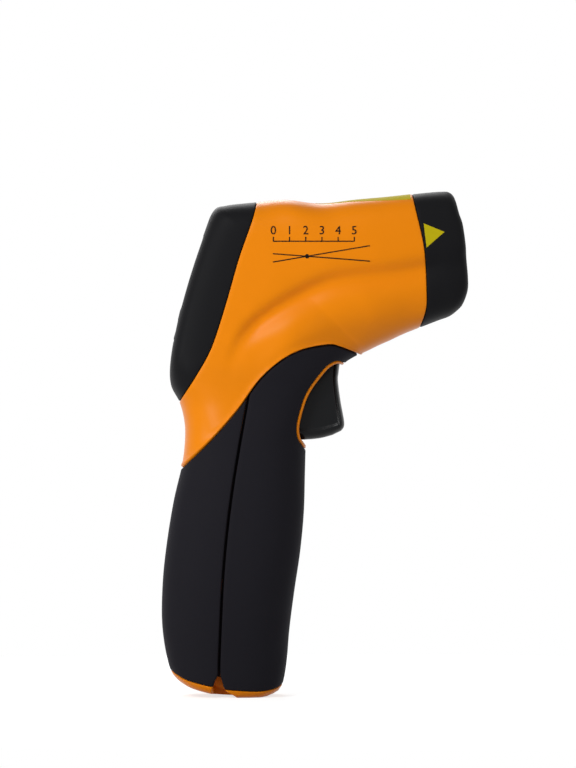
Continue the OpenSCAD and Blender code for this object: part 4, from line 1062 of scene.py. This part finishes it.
def nose_half():
    """Half of the nose cover: side, round edge, end face, lens recess and laser port."""
    verts, normals, faces = zone(NOSE_ZONE, [(NOSE_EDGE, PARTING, 1, EDGE_R)])
    used = points_of(NOSE_ZONE)
    at_end = TIP.off(SIDE_VIEW[used]) < -TIP_END * TIP_ROUND
    rim = sorted({v for e in border(faces) for v in e if at_end[v]}, key=lambda v: PLACES[used[v], 1])
    mouths = [mouth(radius, rise, count) for radius, rise, count, _, _ in BORES]
    rings = [list(zip(line[:, 1], tip_way(line))) for line in (verts[rim], *(edge for edge, _ in mouths))]
    flat, cuts = [], []
    for ring in rings:
        add_run(flat, cuts, ring)
    outline, lens, laser = rings
    for low, high in ((outline[0], lens[-1]), (lens[0], laser[-1]), (laser[0], outline[-1])):
        middle = np.linspace(low[1], high[1], MIDDLE_POINTS)
        add_run(flat, cuts, zip(np.zeros(MIDDLE_POINTS), middle))
    for way in np.arange(outline[0][1], outline[-1][1], GRID_STEP):
        flat.extend((y, way) for y in np.arange(GRID_STEP / 2, NOSE, GRID_STEP))
    pts, _, tris, *_ = delaunay_2d_cdt([Vector(p) for p in flat], cuts, [], 0, 1e-4)
    pts = np.array([(p[0], p[1]) for p in pts])
    end_face = tip_point(np.where(np.abs(pts[:, 0]) < 1e-3, 0, pts[:, 0]), pts[:, 1])
    base = len(verts)
    verts = np.concatenate([verts, end_face])
    normals = np.concatenate([normals, np.tile(FORWARD, (len(pts), 1))])
    for tri in tris:
        c = pts[list(tri)].mean(0)
        if inside(c, outline) and not inside(c, lens) and not inside(c, laser):
            a, b, d = end_face[list(tri)]
            f = tuple(v + base for v in tri)
            faces.append(f if np.cross(b - a, d - a)[0] > 0 else f[::-1])
    axis = np.array([SIGHT_AHEAD[0], 0, SIGHT_AHEAD[1]])
    for (edge, ahead), (_, rise, _, depth, profile) in zip(mouths, BORES):
        rows = bore_rows(ahead, rise, profile, depth)
        centre = SIGHT_AT + SIGHT_UP * rise
        away = rows - [centre[0], 0, centre[1]]
        away = away - (away @ axis)[..., None] * axis
        away /= np.maximum(np.linalg.norm(away, axis=2), 1e-6)[..., None]
        chain = range(len(verts), len(verts) + len(edge))
        verts = np.concatenate([verts, edge])
        normals = np.concatenate([normals, np.tile(FORWARD, (len(edge), 1))])
        verts, normals, faces = add_grid(verts, normals, faces, chain, rows, -away * BORE_WALL, True)
    return weld_close(verts, normals, faces, TIP_WELD)


# Pieces of the housing

# Thicknesses of the skins, and the height under which the opening's lip ends
SHELL_T, SOFT_T, FOOT_T, LIP_T, NOSE_T, BEZEL_T = 2.0, 1.7, 1.6, 2.2, 1.4, 2.2
LIP_LOW = 84

shell_edges = [(GRIP, PARTING, 1, EDGE_R), (BEZEL, -PARTING, -1, EDGE_R), (NOSE_EDGE, -PARTING, -1, EDGE_R)]
plain, screwed = (zone(HEAD_ZONE, shell_edges, True, screws, BEAD) for screws in (False, True))
sided("shell_skin", "shell", "orange_plastic", SHELL_T, screwed, plain)
rear_edges = [(GRIP, -GRIP_GAP, -1, EDGE_R), (REAR, DOOR_GAP, 1, SEAM_R), (STRIP, GRIP_GAP, 1, EDGE_R)]
plain, screwed = (zone(BEHIND & COVERED, rear_edges, True, screws) for screws in (False, True))
sided("grip_skin", "grip", "soft_grip", SOFT_T, screwed, plain)
rear_foot = foot_half(BEHIND & BARE_FOOT, [(REAR, DOOR_GAP, 1, EDGE_R), (STRIP, 0, -1, FINE_R)], True)
sided("foot_skin", "shell", "orange_plastic", FOOT_T, rear_foot)

door_edges = [(GRIP, -DOOR_GAP, -1, EDGE_R), (AHEAD, DOOR_GAP, 1, SEAM_R), (STRIP, GRIP_GAP, 1, EDGE_R),
              (OPENING, LIP_OUT + GRIP_GAP, 1, EDGE_R)]
door_cover = BEFORE & COVERED & (MID[OPENING] > LIP_OUT + GRIP_GAP)
whole("door_grip_skin", "door", "door_grip", "soft_grip", SOFT_T, zone(door_cover, door_edges))
lip_edges = [(OPENING, LIP_IN, 1, FINE_R), (OPENING, LIP_OUT, -1, FINE_R), (GRIP, -DOOR_GAP, -1, FINE_R)]
lip_zone = BEFORE & COVERED & (MID[OPENING] < LIP_OUT) & (MIDDLES[:, 1] > LIP_LOW)
whole("door_lip", "door", "door_frame", "orange_plastic", LIP_T, zone(lip_zone, lip_edges))
door_foot = foot_half(BEFORE & BARE_FOOT, [(AHEAD, DOOR_GAP, 1, EDGE_R), (STRIP, 0, -1, FINE_R)], False)
whole("door_foot", "door", "door_frame", "orange_plastic", FOOT_T, door_foot)
whole("nose_skin", "housing", "nose_cover", "black_plastic", NOSE_T, nose_half())


# Place along X behind which the bezel's holes lie
FACE_AHEAD = -30


def bezel_half():
    """Half of the rear bezel with rounded edges round the window and the buttons."""
    verts, normals, faces = zone(BEZEL_ZONE, [(BEZEL, PARTING, 1, EDGE_R)])
    rows = (verts[:, [0, 2]] - FACE_AT) @ FACE_UP
    on_face = verts[:, 0] < FACE_AHEAD
    for hole in FACE_HOLES:
        off = off_box(rows, verts[:, 1], *hole)
        sunk = np.where(on_face & (off < HOLE_ROUND), drop(off, HOLE_ROUND), 0)
        verts = verts - normals * sunk[:, None]
    return verts, normals, faces


whole("bezel_skin", "housing", "rear_bezel", "black_plastic", BEZEL_T, bezel_half())

# What lies behind the skins: the nodes' own solids, set in from the skin, and the lip behind the door's seam

INSET, INSET_REACH = 1.0, 4
SKIN_TREE = tree_of(SKIN)


def inside_copy(node, body):
    """A node's own solid with what lies near the skin set in, so that the finer skins cover it."""
    mesh = frame["nodes"][node].data.copy()
    for vert in mesh.vertices:
        v = np.array(vert.co) / MM
        mirror = np.array([1, 1 if v[1] >= 0 else -1, 1])
        _, near, gap = SKIN_TREE.find(v * mirror)
        depth = np.dot(SKIN[near] - v * mirror, NORMALS[near])
        if depth < INSET and gap < INSET_REACH:
            vert.co = (v - NORMALS[near] * mirror * (INSET - depth)) * MM
    put_piece(f"{node}_inside", mesh, body, node)


for node, body in (("right_shell", "housing"), ("left_shell", "housing"), ("door_frame", "door")):
    inside_copy(node, body)

SEAM_LIP_DEPTH, SEAM_LIP_T = 4.1, 0.8
SEAM_LIP_ROWS = (-1.6, -0.4, 0.8, 2.0)
SEAM_LIP_LOW, SEAM_LIP_TOP, SEAM_LIP_COUNT = 7.0, 2.5, 90


def on_seam(p):
    return (GRIP.off(p) < SEAM_LIP_TOP) & (p[:, 1] > SEAM_LIP_LOW)


def seam_lip():
    """Half of the lip of the rear grip that runs behind the seam of the battery door."""
    rows = []
    for over in SEAM_LIP_ROWS:
        run = max(trace(REAR.moved(over), keep=on_seam), key=len)
        at = np.linspace(0, len(run) - 1, SEAM_LIP_COUNT)
        rows.append(np.stack([np.interp(at, np.arange(len(run)), run[:, k]) for k in range(2)], 1))
    return sheet(rows, -SEAM_LIP_DEPTH)


sided("seam_lip", "grip", "soft_grip", SEAM_LIP_T, seam_lip())

NOTCH_X, NOTCH_TOP, NOTCH_DEPTH, NOTCH_T = (-38.0, -25.0), 9.0, 9.0, 1.0
# Foot of the notch's wall, as places along X and heights, and the wall's columns and rows of points
NOTCH_FOOT, NOTCH_GRID = ((-36, -27), (1.0, 0.6)), (10, 7)


def notch_wall():
    """Half of the wall of the shell behind the notch in the foot."""
    columns, rows = NOTCH_GRID
    points = [(x, z) for x in np.linspace(*NOTCH_X, columns)
              for z in np.linspace(np.interp(x, *NOTCH_FOOT), NOTCH_TOP, rows)]
    verts, out = on_skin(places_of(points), -NOTCH_DEPTH)
    verts[:, 2] = np.array(points)[:, 1]
    return turned_out(verts, out * [1, 1, 0], grid_faces(columns, rows))


sided("notch_wall", "shell", "orange_plastic", NOTCH_T, notch_wall())

# Trigger: a flat side between two creases, and round edges in front and below

TRIGGER_CREASE_FRONT = [[6.6, 116.2], [6.4, 113], [6.3, 110], [7.0, 103], [7.9, 96.3], [7.6, 95.8]]
TRIGGER_CREASE_UNDER = [[6.6, 95.5], [2, 94.3], [-3.5, 93.9], [-9, 93.9]]
# Bead along the trigger's edges: shares of the way from crease to outline, and falls from the full width
TRIGGER_ROWS = ((0, 0.5), (0.06, 0.48), (0.14, 0.38), (0.24, 0.2), (0.34, 0.05), (0.42, 0), (0.55, 0.2),
                (0.7, 0.8), (0.84, 1.6), (0.95, 2.5), (1, 3.3))


# Hub: the degrees from its first point to its last, and how many points
HUB_TURN, HUB_POINTS = (205, 10), 14
# Middle of the side, how far the crease at the back and the lever are drawn in to it, the share of its width
# that the lever keeps, and how far under the pivot it starts to be drawn in
TRIGGER_MIDDLE = np.array([0.0, 104.0])
BACK_DRAWN, LEVER_DRAWN, LEVER_W, LEVER_DROP = 0.04, 0.2, 0.6, 1


def trigger_blade():
    """The blade of the trigger as one closed mesh."""
    turn = np.radians(np.linspace(*HUB_TURN, HUB_POINTS))
    hub = np.array(PIVOT) + HUB_R * np.stack([np.cos(turn), np.sin(turn)], 1)
    back = np.concatenate([curve(TRIGGER_BACK, 6), hub])
    outline = np.concatenate([curve(TRIGGER_FRONT), curve(TRIGGER_UNDER), back])
    crease = np.concatenate([curve(TRIGGER_CREASE_FRONT), curve(TRIGGER_CREASE_UNDER),
                             back + (TRIGGER_MIDDLE - back) * BACK_DRAWN])
    n, rows = len(outline), len(TRIGGER_ROWS)
    verts, faces = [], []
    for side in (1, -1):
        for u, fall in TRIGGER_ROWS:
            ring = crease + (outline - crease) * u
            verts += [(x, side * (TRIGGER_W / 2 - fall), z) for x, z in ring]
    for k in range(rows - 1):
        faces += [quad[::-1] for quad in band(k, k + 1, n)]
        faces += band(rows + k, rows + k + 1, n)
    faces += [quad[::-1] for quad in band(rows - 1, 2 * rows - 1, n)]
    _, _, fill, *_ = delaunay_2d_cdt([Vector(c) for c in crease], [], [list(range(n))], 1, 1e-6)
    for f in fill:
        a, b, c = (crease[v] for v in f)
        left = (b - a)[0] * (c - a)[1] - (b - a)[1] * (c - a)[0] > 0
        faces.append(tuple(f[::-1] if left else f))
        faces.append(tuple(v + rows * n for v in (f if left else f[::-1])))
    return np.array(verts), faces


def trigger_lever():
    """The trigger's own solid, drawn in within the blade, for its hub and the lever to the switch."""
    mesh = frame["nodes"]["trigger"].data.copy()
    for vert in mesh.vertices:
        x, y, z = np.array(vert.co) / MM
        if z < PIVOT[1] - LEVER_DROP:
            x, z = (x, z) + (TRIGGER_MIDDLE - (x, z)) * LEVER_DRAWN
            vert.co = (x * MM, y * LEVER_W * MM, z * MM)
    return mesh


mesh_piece("trigger_blade", *trigger_blade(), "trigger", "trigger", "trigger_plastic")
put_piece("trigger_lever", trigger_lever(), "trigger", "trigger")

# Plates and print on the housing

PLATE_PROUD, PLATE_T = 0.1, 0.5
PLATE_S, PLATE_FALL = (18.85, 21.9), (0.05, 2.1)
PLATE_ROWS, PLATE_COLUMNS = 45, 25


def top_plate():
    """The plain plate on the crown of the head, wider toward the nose, in a yellow darkened to olive by
    painted shade.
    """
    rows = []
    aside = np.linspace(-1, 1, PLATE_COLUMNS)
    for s, fall in zip(np.linspace(*PLATE_S, PLATE_ROWS), np.linspace(*PLATE_FALL, PLATE_ROWS)):
        place = np.full(PLATE_COLUMNS, s)
        low_x, low_z, high_x, high_z = spline(RIBS, place[:1])[0, :4]
        along = 1 - fall / math.hypot(high_x - low_x, high_z - low_z)
        edge = share_of(place[:1], np.array([along]))[0]
        rows.append(np.stack([place, 1 - np.abs(aside) * (1 - edge)], 1))
    mirror = np.stack([np.ones(PLATE_COLUMNS), np.sign(aside), np.ones(PLATE_COLUMNS)], 1)
    return closed_shell(*sheet(rows, PLATE_PROUD, np.tile(mirror, (PLATE_ROWS, 1))), PLATE_T)


def laid(points, faces, proud):
    """A flat drawing of the side view laid on the right-hand skin: points, normals and faces."""
    return turned_out(*on_skin(places_of(points), proud, np.array([1, -1, 1])), faces)


STROKE_W, STROKE_STEP = 0.35, 1.0
SPOT_POINTS, WEDGE_STEPS = 20, 9


def joined(drawings):
    """One drawing from several, each of them points and faces."""
    points, faces = [], []
    for some, over in drawings:
        faces += [tuple(v + len(points) for v in f) for f in over]
        points += [tuple(q) for q in some]
    return points, faces


def stroke(a, b):
    """A straight stroke as a strip of quads."""
    a, b = np.array(a, float), np.array(b, float)
    n = max(int(np.linalg.norm(b - a) / STROKE_STEP), 1)
    aside = np.array([a[1] - b[1], b[0] - a[0]]) / np.linalg.norm(b - a) * STROKE_W / 2
    line = [a + (b - a) * k / n for k in range(n + 1)]
    faces = [(k, k + 1, n + 2 + k, n + 1 + k) for k in range(n)]
    return [q + aside for q in line] + [q - aside for q in line], faces


def spot(middle, radius):
    """A filled round spot."""
    ring = circle(middle, radius, SPOT_POINTS)
    faces = [(0, k + 1, (k + 1) % SPOT_POINTS + 1) for k in range(SPOT_POINTS)]
    return [np.array(middle), *ring], faces


def wedge(corners):
    """A filled triangle in small faces."""
    count = WEDGE_STEPS
    a, b, c = np.array(corners, float)
    index, points, faces = {}, [], []
    for i in range(count + 1):
        for j in range(count + 1 - i):
            index[i, j] = len(points)
            points.append(a + (b - a) * i / count + (c - a) * j / count)
    for i in range(count):
        for j in range(count - i):
            faces.append((index[i, j], index[i + 1, j], index[i, j + 1]))
            if i + j < count - 1:
                faces.append((index[i + 1, j], index[i + 1, j + 1], index[i, j + 1]))
    return points, faces


def number(text, at, height):
    """A plain number centred on a point."""
    data = bpy.data.curves.new("number", "FONT")
    data.body = text
    data.size = height
    data.align_x = "CENTER"
    data.resolution_u = 3
    obj = new_object("number", data)
    mesh = bpy.data.meshes.new_from_object(obj.evaluated_get(bpy.context.evaluated_depsgraph_get()))
    points = [np.array(v.co[:2]) + at for v in mesh.vertices]
    faces = [tuple(f.vertices) for f in mesh.polygons]
    bpy.data.objects.remove(obj)
    bpy.data.curves.remove(data)
    bpy.data.meshes.remove(mesh)
    return points, faces


INK_PROUD, INK_T = 0.15, 0.3
BEAM_START, BEAM_END = -14.5, 19.0
BEAM_CROSS, BEAM_RISE = (-2.7, 153.2), (-2.0, 0.9)
SPOT_R = 0.75
# Scale: its height, first tick, pitch, number of ticks, a tick's height, and how far before the beam it ends
SCALE_Z, SCALE_FIRST, SCALE_STEP, SCALE_TICKS, TICK_H, SCALE_SHORT = 158.4, 0.14, 5.6, 6, 1.5, 5.4
NUMBER_RISE, NUMBER_H = 0.9, 4.2
ARROWHEAD = [[37.7, 164.6], [44.9, 161.7], [38.7, 156.3]]


def side_print():
    """A plain drawing of the beam that narrows to a spot, and a numbered scale over it."""
    drawings = [spot(BEAM_CROSS, SPOT_R)]
    for rise in BEAM_RISE:
        slope = rise / (BEAM_CROSS[0] - BEAM_START)
        ends = [(x, BEAM_CROSS[1] + slope * (BEAM_CROSS[0] - x)) for x in (BEAM_START, BEAM_END)]
        drawings.append(stroke(*ends))
    drawings.append(stroke((BEAM_START, SCALE_Z), (BEAM_END - SCALE_SHORT, SCALE_Z)))
    for k in range(SCALE_TICKS):
        x = BEAM_START + SCALE_FIRST + k * SCALE_STEP
        drawings.append(stroke((x, SCALE_Z), (x, SCALE_Z + TICK_H)))
        drawings.append(number(str(k), np.array([x, SCALE_Z + TICK_H + NUMBER_RISE]), NUMBER_H))
    return joined(drawings)


# The arrowhead's yellow is darkened to olive by painted shade
for name, drawing, slot, finish in (("side_print", side_print(), "dark_component", "print_ink"),
                                    ("nose_arrowhead", wedge(ARROWHEAD), "black_plastic", "plate_yellow")):
    verts, faces = closed_shell(*laid(*drawing, INK_PROUD), INK_T)
    mesh_piece(name, verts, faces, "housing", None, slot, finish)
mesh_piece("top_plate", *top_plate(), "housing", None, "orange_plastic", "plate_yellow")

# Buttons: low crowned caps

CAP_ROWS = [(-3.5, 0), (-1.2, 0), (-0.9, 0.08), (-0.7, 0.3), (-0.61, 0.7), (-0.58, 1.3), (-0.55, 2.4)]


CAP_LEAST_R = 0.5


def button_cap(side):
    """A crowned cap as one closed mesh: rows of its outline at depths behind the face, then its top."""
    verts, faces, count = [], [], 0
    for depth, inset in CAP_ROWS:
        r = max(BUTTON_R - inset, CAP_LEAST_R)
        ring = dense(rounded_box(BUTTON_ROW, side, BUTTON_H - 2 * inset, BUTTON_W - 2 * inset, r))
        count = count or len(ring)
        turn = np.linspace(0, 1, count, endpoint=False) * len(ring)
        around = np.concatenate([ring, ring[:1]])
        ring = np.stack([np.interp(turn, np.arange(len(around)), around[:, k]) for k in range(2)], 1)
        flat = FACE_AT + np.outer(ring[:, 0], FACE_UP) + FACE_OUT * depth
        verts += [(x, y, z) for (x, z), y in zip(flat, ring[:, 1])]
    last = len(CAP_ROWS) - 1
    for k in range(last):
        faces += band(k, k + 1, count)
    faces.append(tuple(range(last * count, (last + 1) * count)))
    faces.append(tuple(range(count))[::-1])
    return verts, faces


for button, side in (("left", 1), ("middle", 0), ("right", -1)):
    verts, faces = button_cap(side * BUTTON_PITCH)
    mesh_piece(f"button_{button}_cap", verts, faces, f"button_{button}", f"button_{button}", "button_rubber")

# Display: dark segments on the front of the panel

LCD_DEPTH = max(np.dot((v.co.x / MM, v.co.z / MM) - FACE_AT, FACE_OUT)
                for v in frame["nodes"]["lcd_panel"].data.vertices)
SEGMENT_W, SEGMENT_L, SEGMENT_GAP, SEGMENT_PROUD = 1.1, 5.2, 0.25, 0.04
DIGIT_PITCH = 7.6
# Bars of a digit, each from a place to a place, and the bars that each digit lights
BARS = {"a": ((2, 0), (2, 1)), "b": ((2, 1), (1, 1)), "c": ((1, 1), (0, 1)), "d": ((0, 0), (0, 1)),
        "e": ((1, 0), (0, 0)), "f": ((2, 0), (1, 0)), "g": ((1, 0), (1, 1))}
LIT = {"2": "abged", "4": "fgbc", "7": "abc"}
READING = "247"


def segment(a, b):
    """One bar of a digit with pointed ends, as rows and sides."""
    a, b = np.array(a, float), np.array(b, float)
    way = (b - a) / np.linalg.norm(b - a)
    aside = np.array([-way[1], way[0]]) * SEGMENT_W / 2
    a, b = a + way * SEGMENT_GAP, b - way * SEGMENT_GAP
    tip = way * SEGMENT_W / 2
    return [a, a + tip + aside, b - tip + aside, b, b - tip - aside, a + tip - aside], [(0, 1, 2, 3, 4, 5)]


def reading():
    """The reading in bars, centred on the window, as rows and sides of the rear face."""
    drawings = []
    for k, digit in enumerate(READING):
        left = (len(READING) / 2 - k) * DIGIT_PITCH - (DIGIT_PITCH - SEGMENT_L) / 2
        for bar in LIT[digit]:
            ends = [(WINDOW_ROW + (up - 1) * SEGMENT_L, left - over * SEGMENT_L) for up, over in BARS[bar]]
            drawings.append(segment(*ends))
    return joined(drawings)


def display_mark():
    """The reading as a closed mesh on the front of the panel."""
    points, faces = reading()
    points = np.array(points)
    flat = FACE_AT + np.outer(points[:, 0], FACE_UP) + FACE_OUT * (LCD_DEPTH + SEGMENT_PROUD)
    verts = np.stack([flat[:, 0], points[:, 1], flat[:, 1]], 1)
    normals = np.tile([FACE_OUT[0], 0, FACE_OUT[1]], (len(verts), 1))
    return closed_shell(*turned_out(verts, normals, faces), INK_T)


mesh_piece("display_reading", *display_mark(), "housing", None, "dark_component", "print_ink")

# Camera, floor and light

# The photograph: mm to a pixel, its size, and the pixels of the axis and the floor
PIXEL = 0.35
PHOTO_W, PHOTO_H = 576, 768
AXIS_PX, FLOOR_PX = 314.5, 695.5
CAMERA_FAR, SENSOR, CLIP_END = 2000.0, 36, 100
# Light of the surrounding on the part, and the floor's radius, points, grey, roughness and glow
AMBIENT = 0.28
FLOOR_R, FLOOR_POINTS, FLOOR_GREY, FLOOR_ROUGH, FLOOR_GLOW = 0.3, 64, (0.6, 0.6, 0.6), 0.9, 0.7
# Lights: name, place, aim, size and power
LIGHTS = (
    ("key", (-0.5, -0.95, 0.75), (0, 0, 0.12), (0.4, 0.4), 5.8),
    ("low", (-0.6, -0.95, -0.2), (0, 0, 0.12), (0.3, 0.3), 3.4),
    ("strip", (-1.0, -0.6, 0.2), (0, 0, 0.12), (0.05, 0.5), 3.6),
    ("fill", (0.9, -0.9, 0.35), (0, 0, 0.1), (0.8, 0.8), 1.5),
    ("back", (-0.3, 0.9, 0.8), (0, 0, 0.1), (0.8, 0.8), 7),
)


def place_camera():
    """The camera at the photograph's angle: square on to the right-hand side, from far away."""
    data = bpy.data.cameras.new("camera")
    data.sensor_fit = "VERTICAL"
    data.sensor_height = SENSOR
    data.lens = SENSOR * CAMERA_FAR / (PHOTO_H * PIXEL)
    data.clip_end = CLIP_END
    obj = new_object("camera", data)
    across, up = (PHOTO_W / 2 - AXIS_PX) * PIXEL, (FLOOR_PX - PHOTO_H / 2) * PIXEL
    obj.location = (across * MM, -CAMERA_FAR * MM, up * MM)
    obj.rotation_euler = (math.pi / 2, 0, 0)
    bpy.context.scene.camera = obj


def area_light(name, place, aim, size, power):
    """A lamp that faces the place it is aimed at."""
    data = bpy.data.lights.new(name, "AREA")
    data.shape = "RECTANGLE"
    data.size, data.size_y = size
    data.energy = power
    obj = new_object(name, data)
    obj.location = place
    obj.rotation_euler = (Vector(aim) - Vector(place)).to_track_quat("-Z", "Y").to_euler()


def seen_rays(nodes, links):
    """One where the eye, a mirror or a glass looks at a surface, and zero for the light that it gives."""
    path = nodes.new("ShaderNodeLightPath")
    total = path.outputs["Is Camera Ray"]
    for ray in ("Is Glossy Ray", "Is Transmission Ray"):
        most = nodes.new("ShaderNodeMath")
        most.operation = "MAXIMUM"
        links.new(total, most.inputs[0])
        links.new(path.outputs[ray], most.inputs[1])
        total = most.outputs[0]
    return total


def white_world():
    """An even white surrounding: white to the eye, and a plain level of light on the part."""
    world = bpy.data.worlds.new("studio")
    bpy.context.scene.world = world
    world.use_nodes = True
    nodes, links = world.node_tree.nodes, world.node_tree.links
    background = set_values(nodes["Background"], {"Color": (1, 1, 1, 1)})
    level = set_values(nodes.new("ShaderNodeMapRange"), {"To Min": AMBIENT, "To Max": 1.0})
    links.new(seen_rays(nodes, links), level.inputs["Value"])
    links.new(level.outputs["Result"], background.inputs["Strength"])


def floor():
    """A plain pale floor under the foot, which is white to the eye but for the shadow on it."""
    mesh = bpy.data.meshes.new("floor")
    ring = circle((0, 0), FLOOR_R, FLOOR_POINTS)
    mesh.from_pydata([(x, y, 0) for x, y in ring], [], [tuple(range(FLOOR_POINTS))])
    mat = plastic("floor_white", FLOOR_GREY, FLOOR_ROUGH, specular=0.0, uneven=False)
    nodes, links = mat.node_tree.nodes, mat.node_tree.links
    level = nodes.new("ShaderNodeMath")
    level.operation = "MULTIPLY"
    level.inputs[1].default_value = FLOOR_GLOW
    links.new(seen_rays(nodes, links), level.inputs[0])
    bsdf = set_values(nodes["Principled BSDF"], {"Emission Color": (1, 1, 1, 1)})
    links.new(level.outputs[0], bsdf.inputs["Emission Strength"])
    mesh.materials.append(mat)
    new_object("floor", mesh)


place_camera()
white_world()
floor()
for light in LIGHTS:
    area_light(*light)
bpy.context.scene.view_settings.view_transform = "Standard"
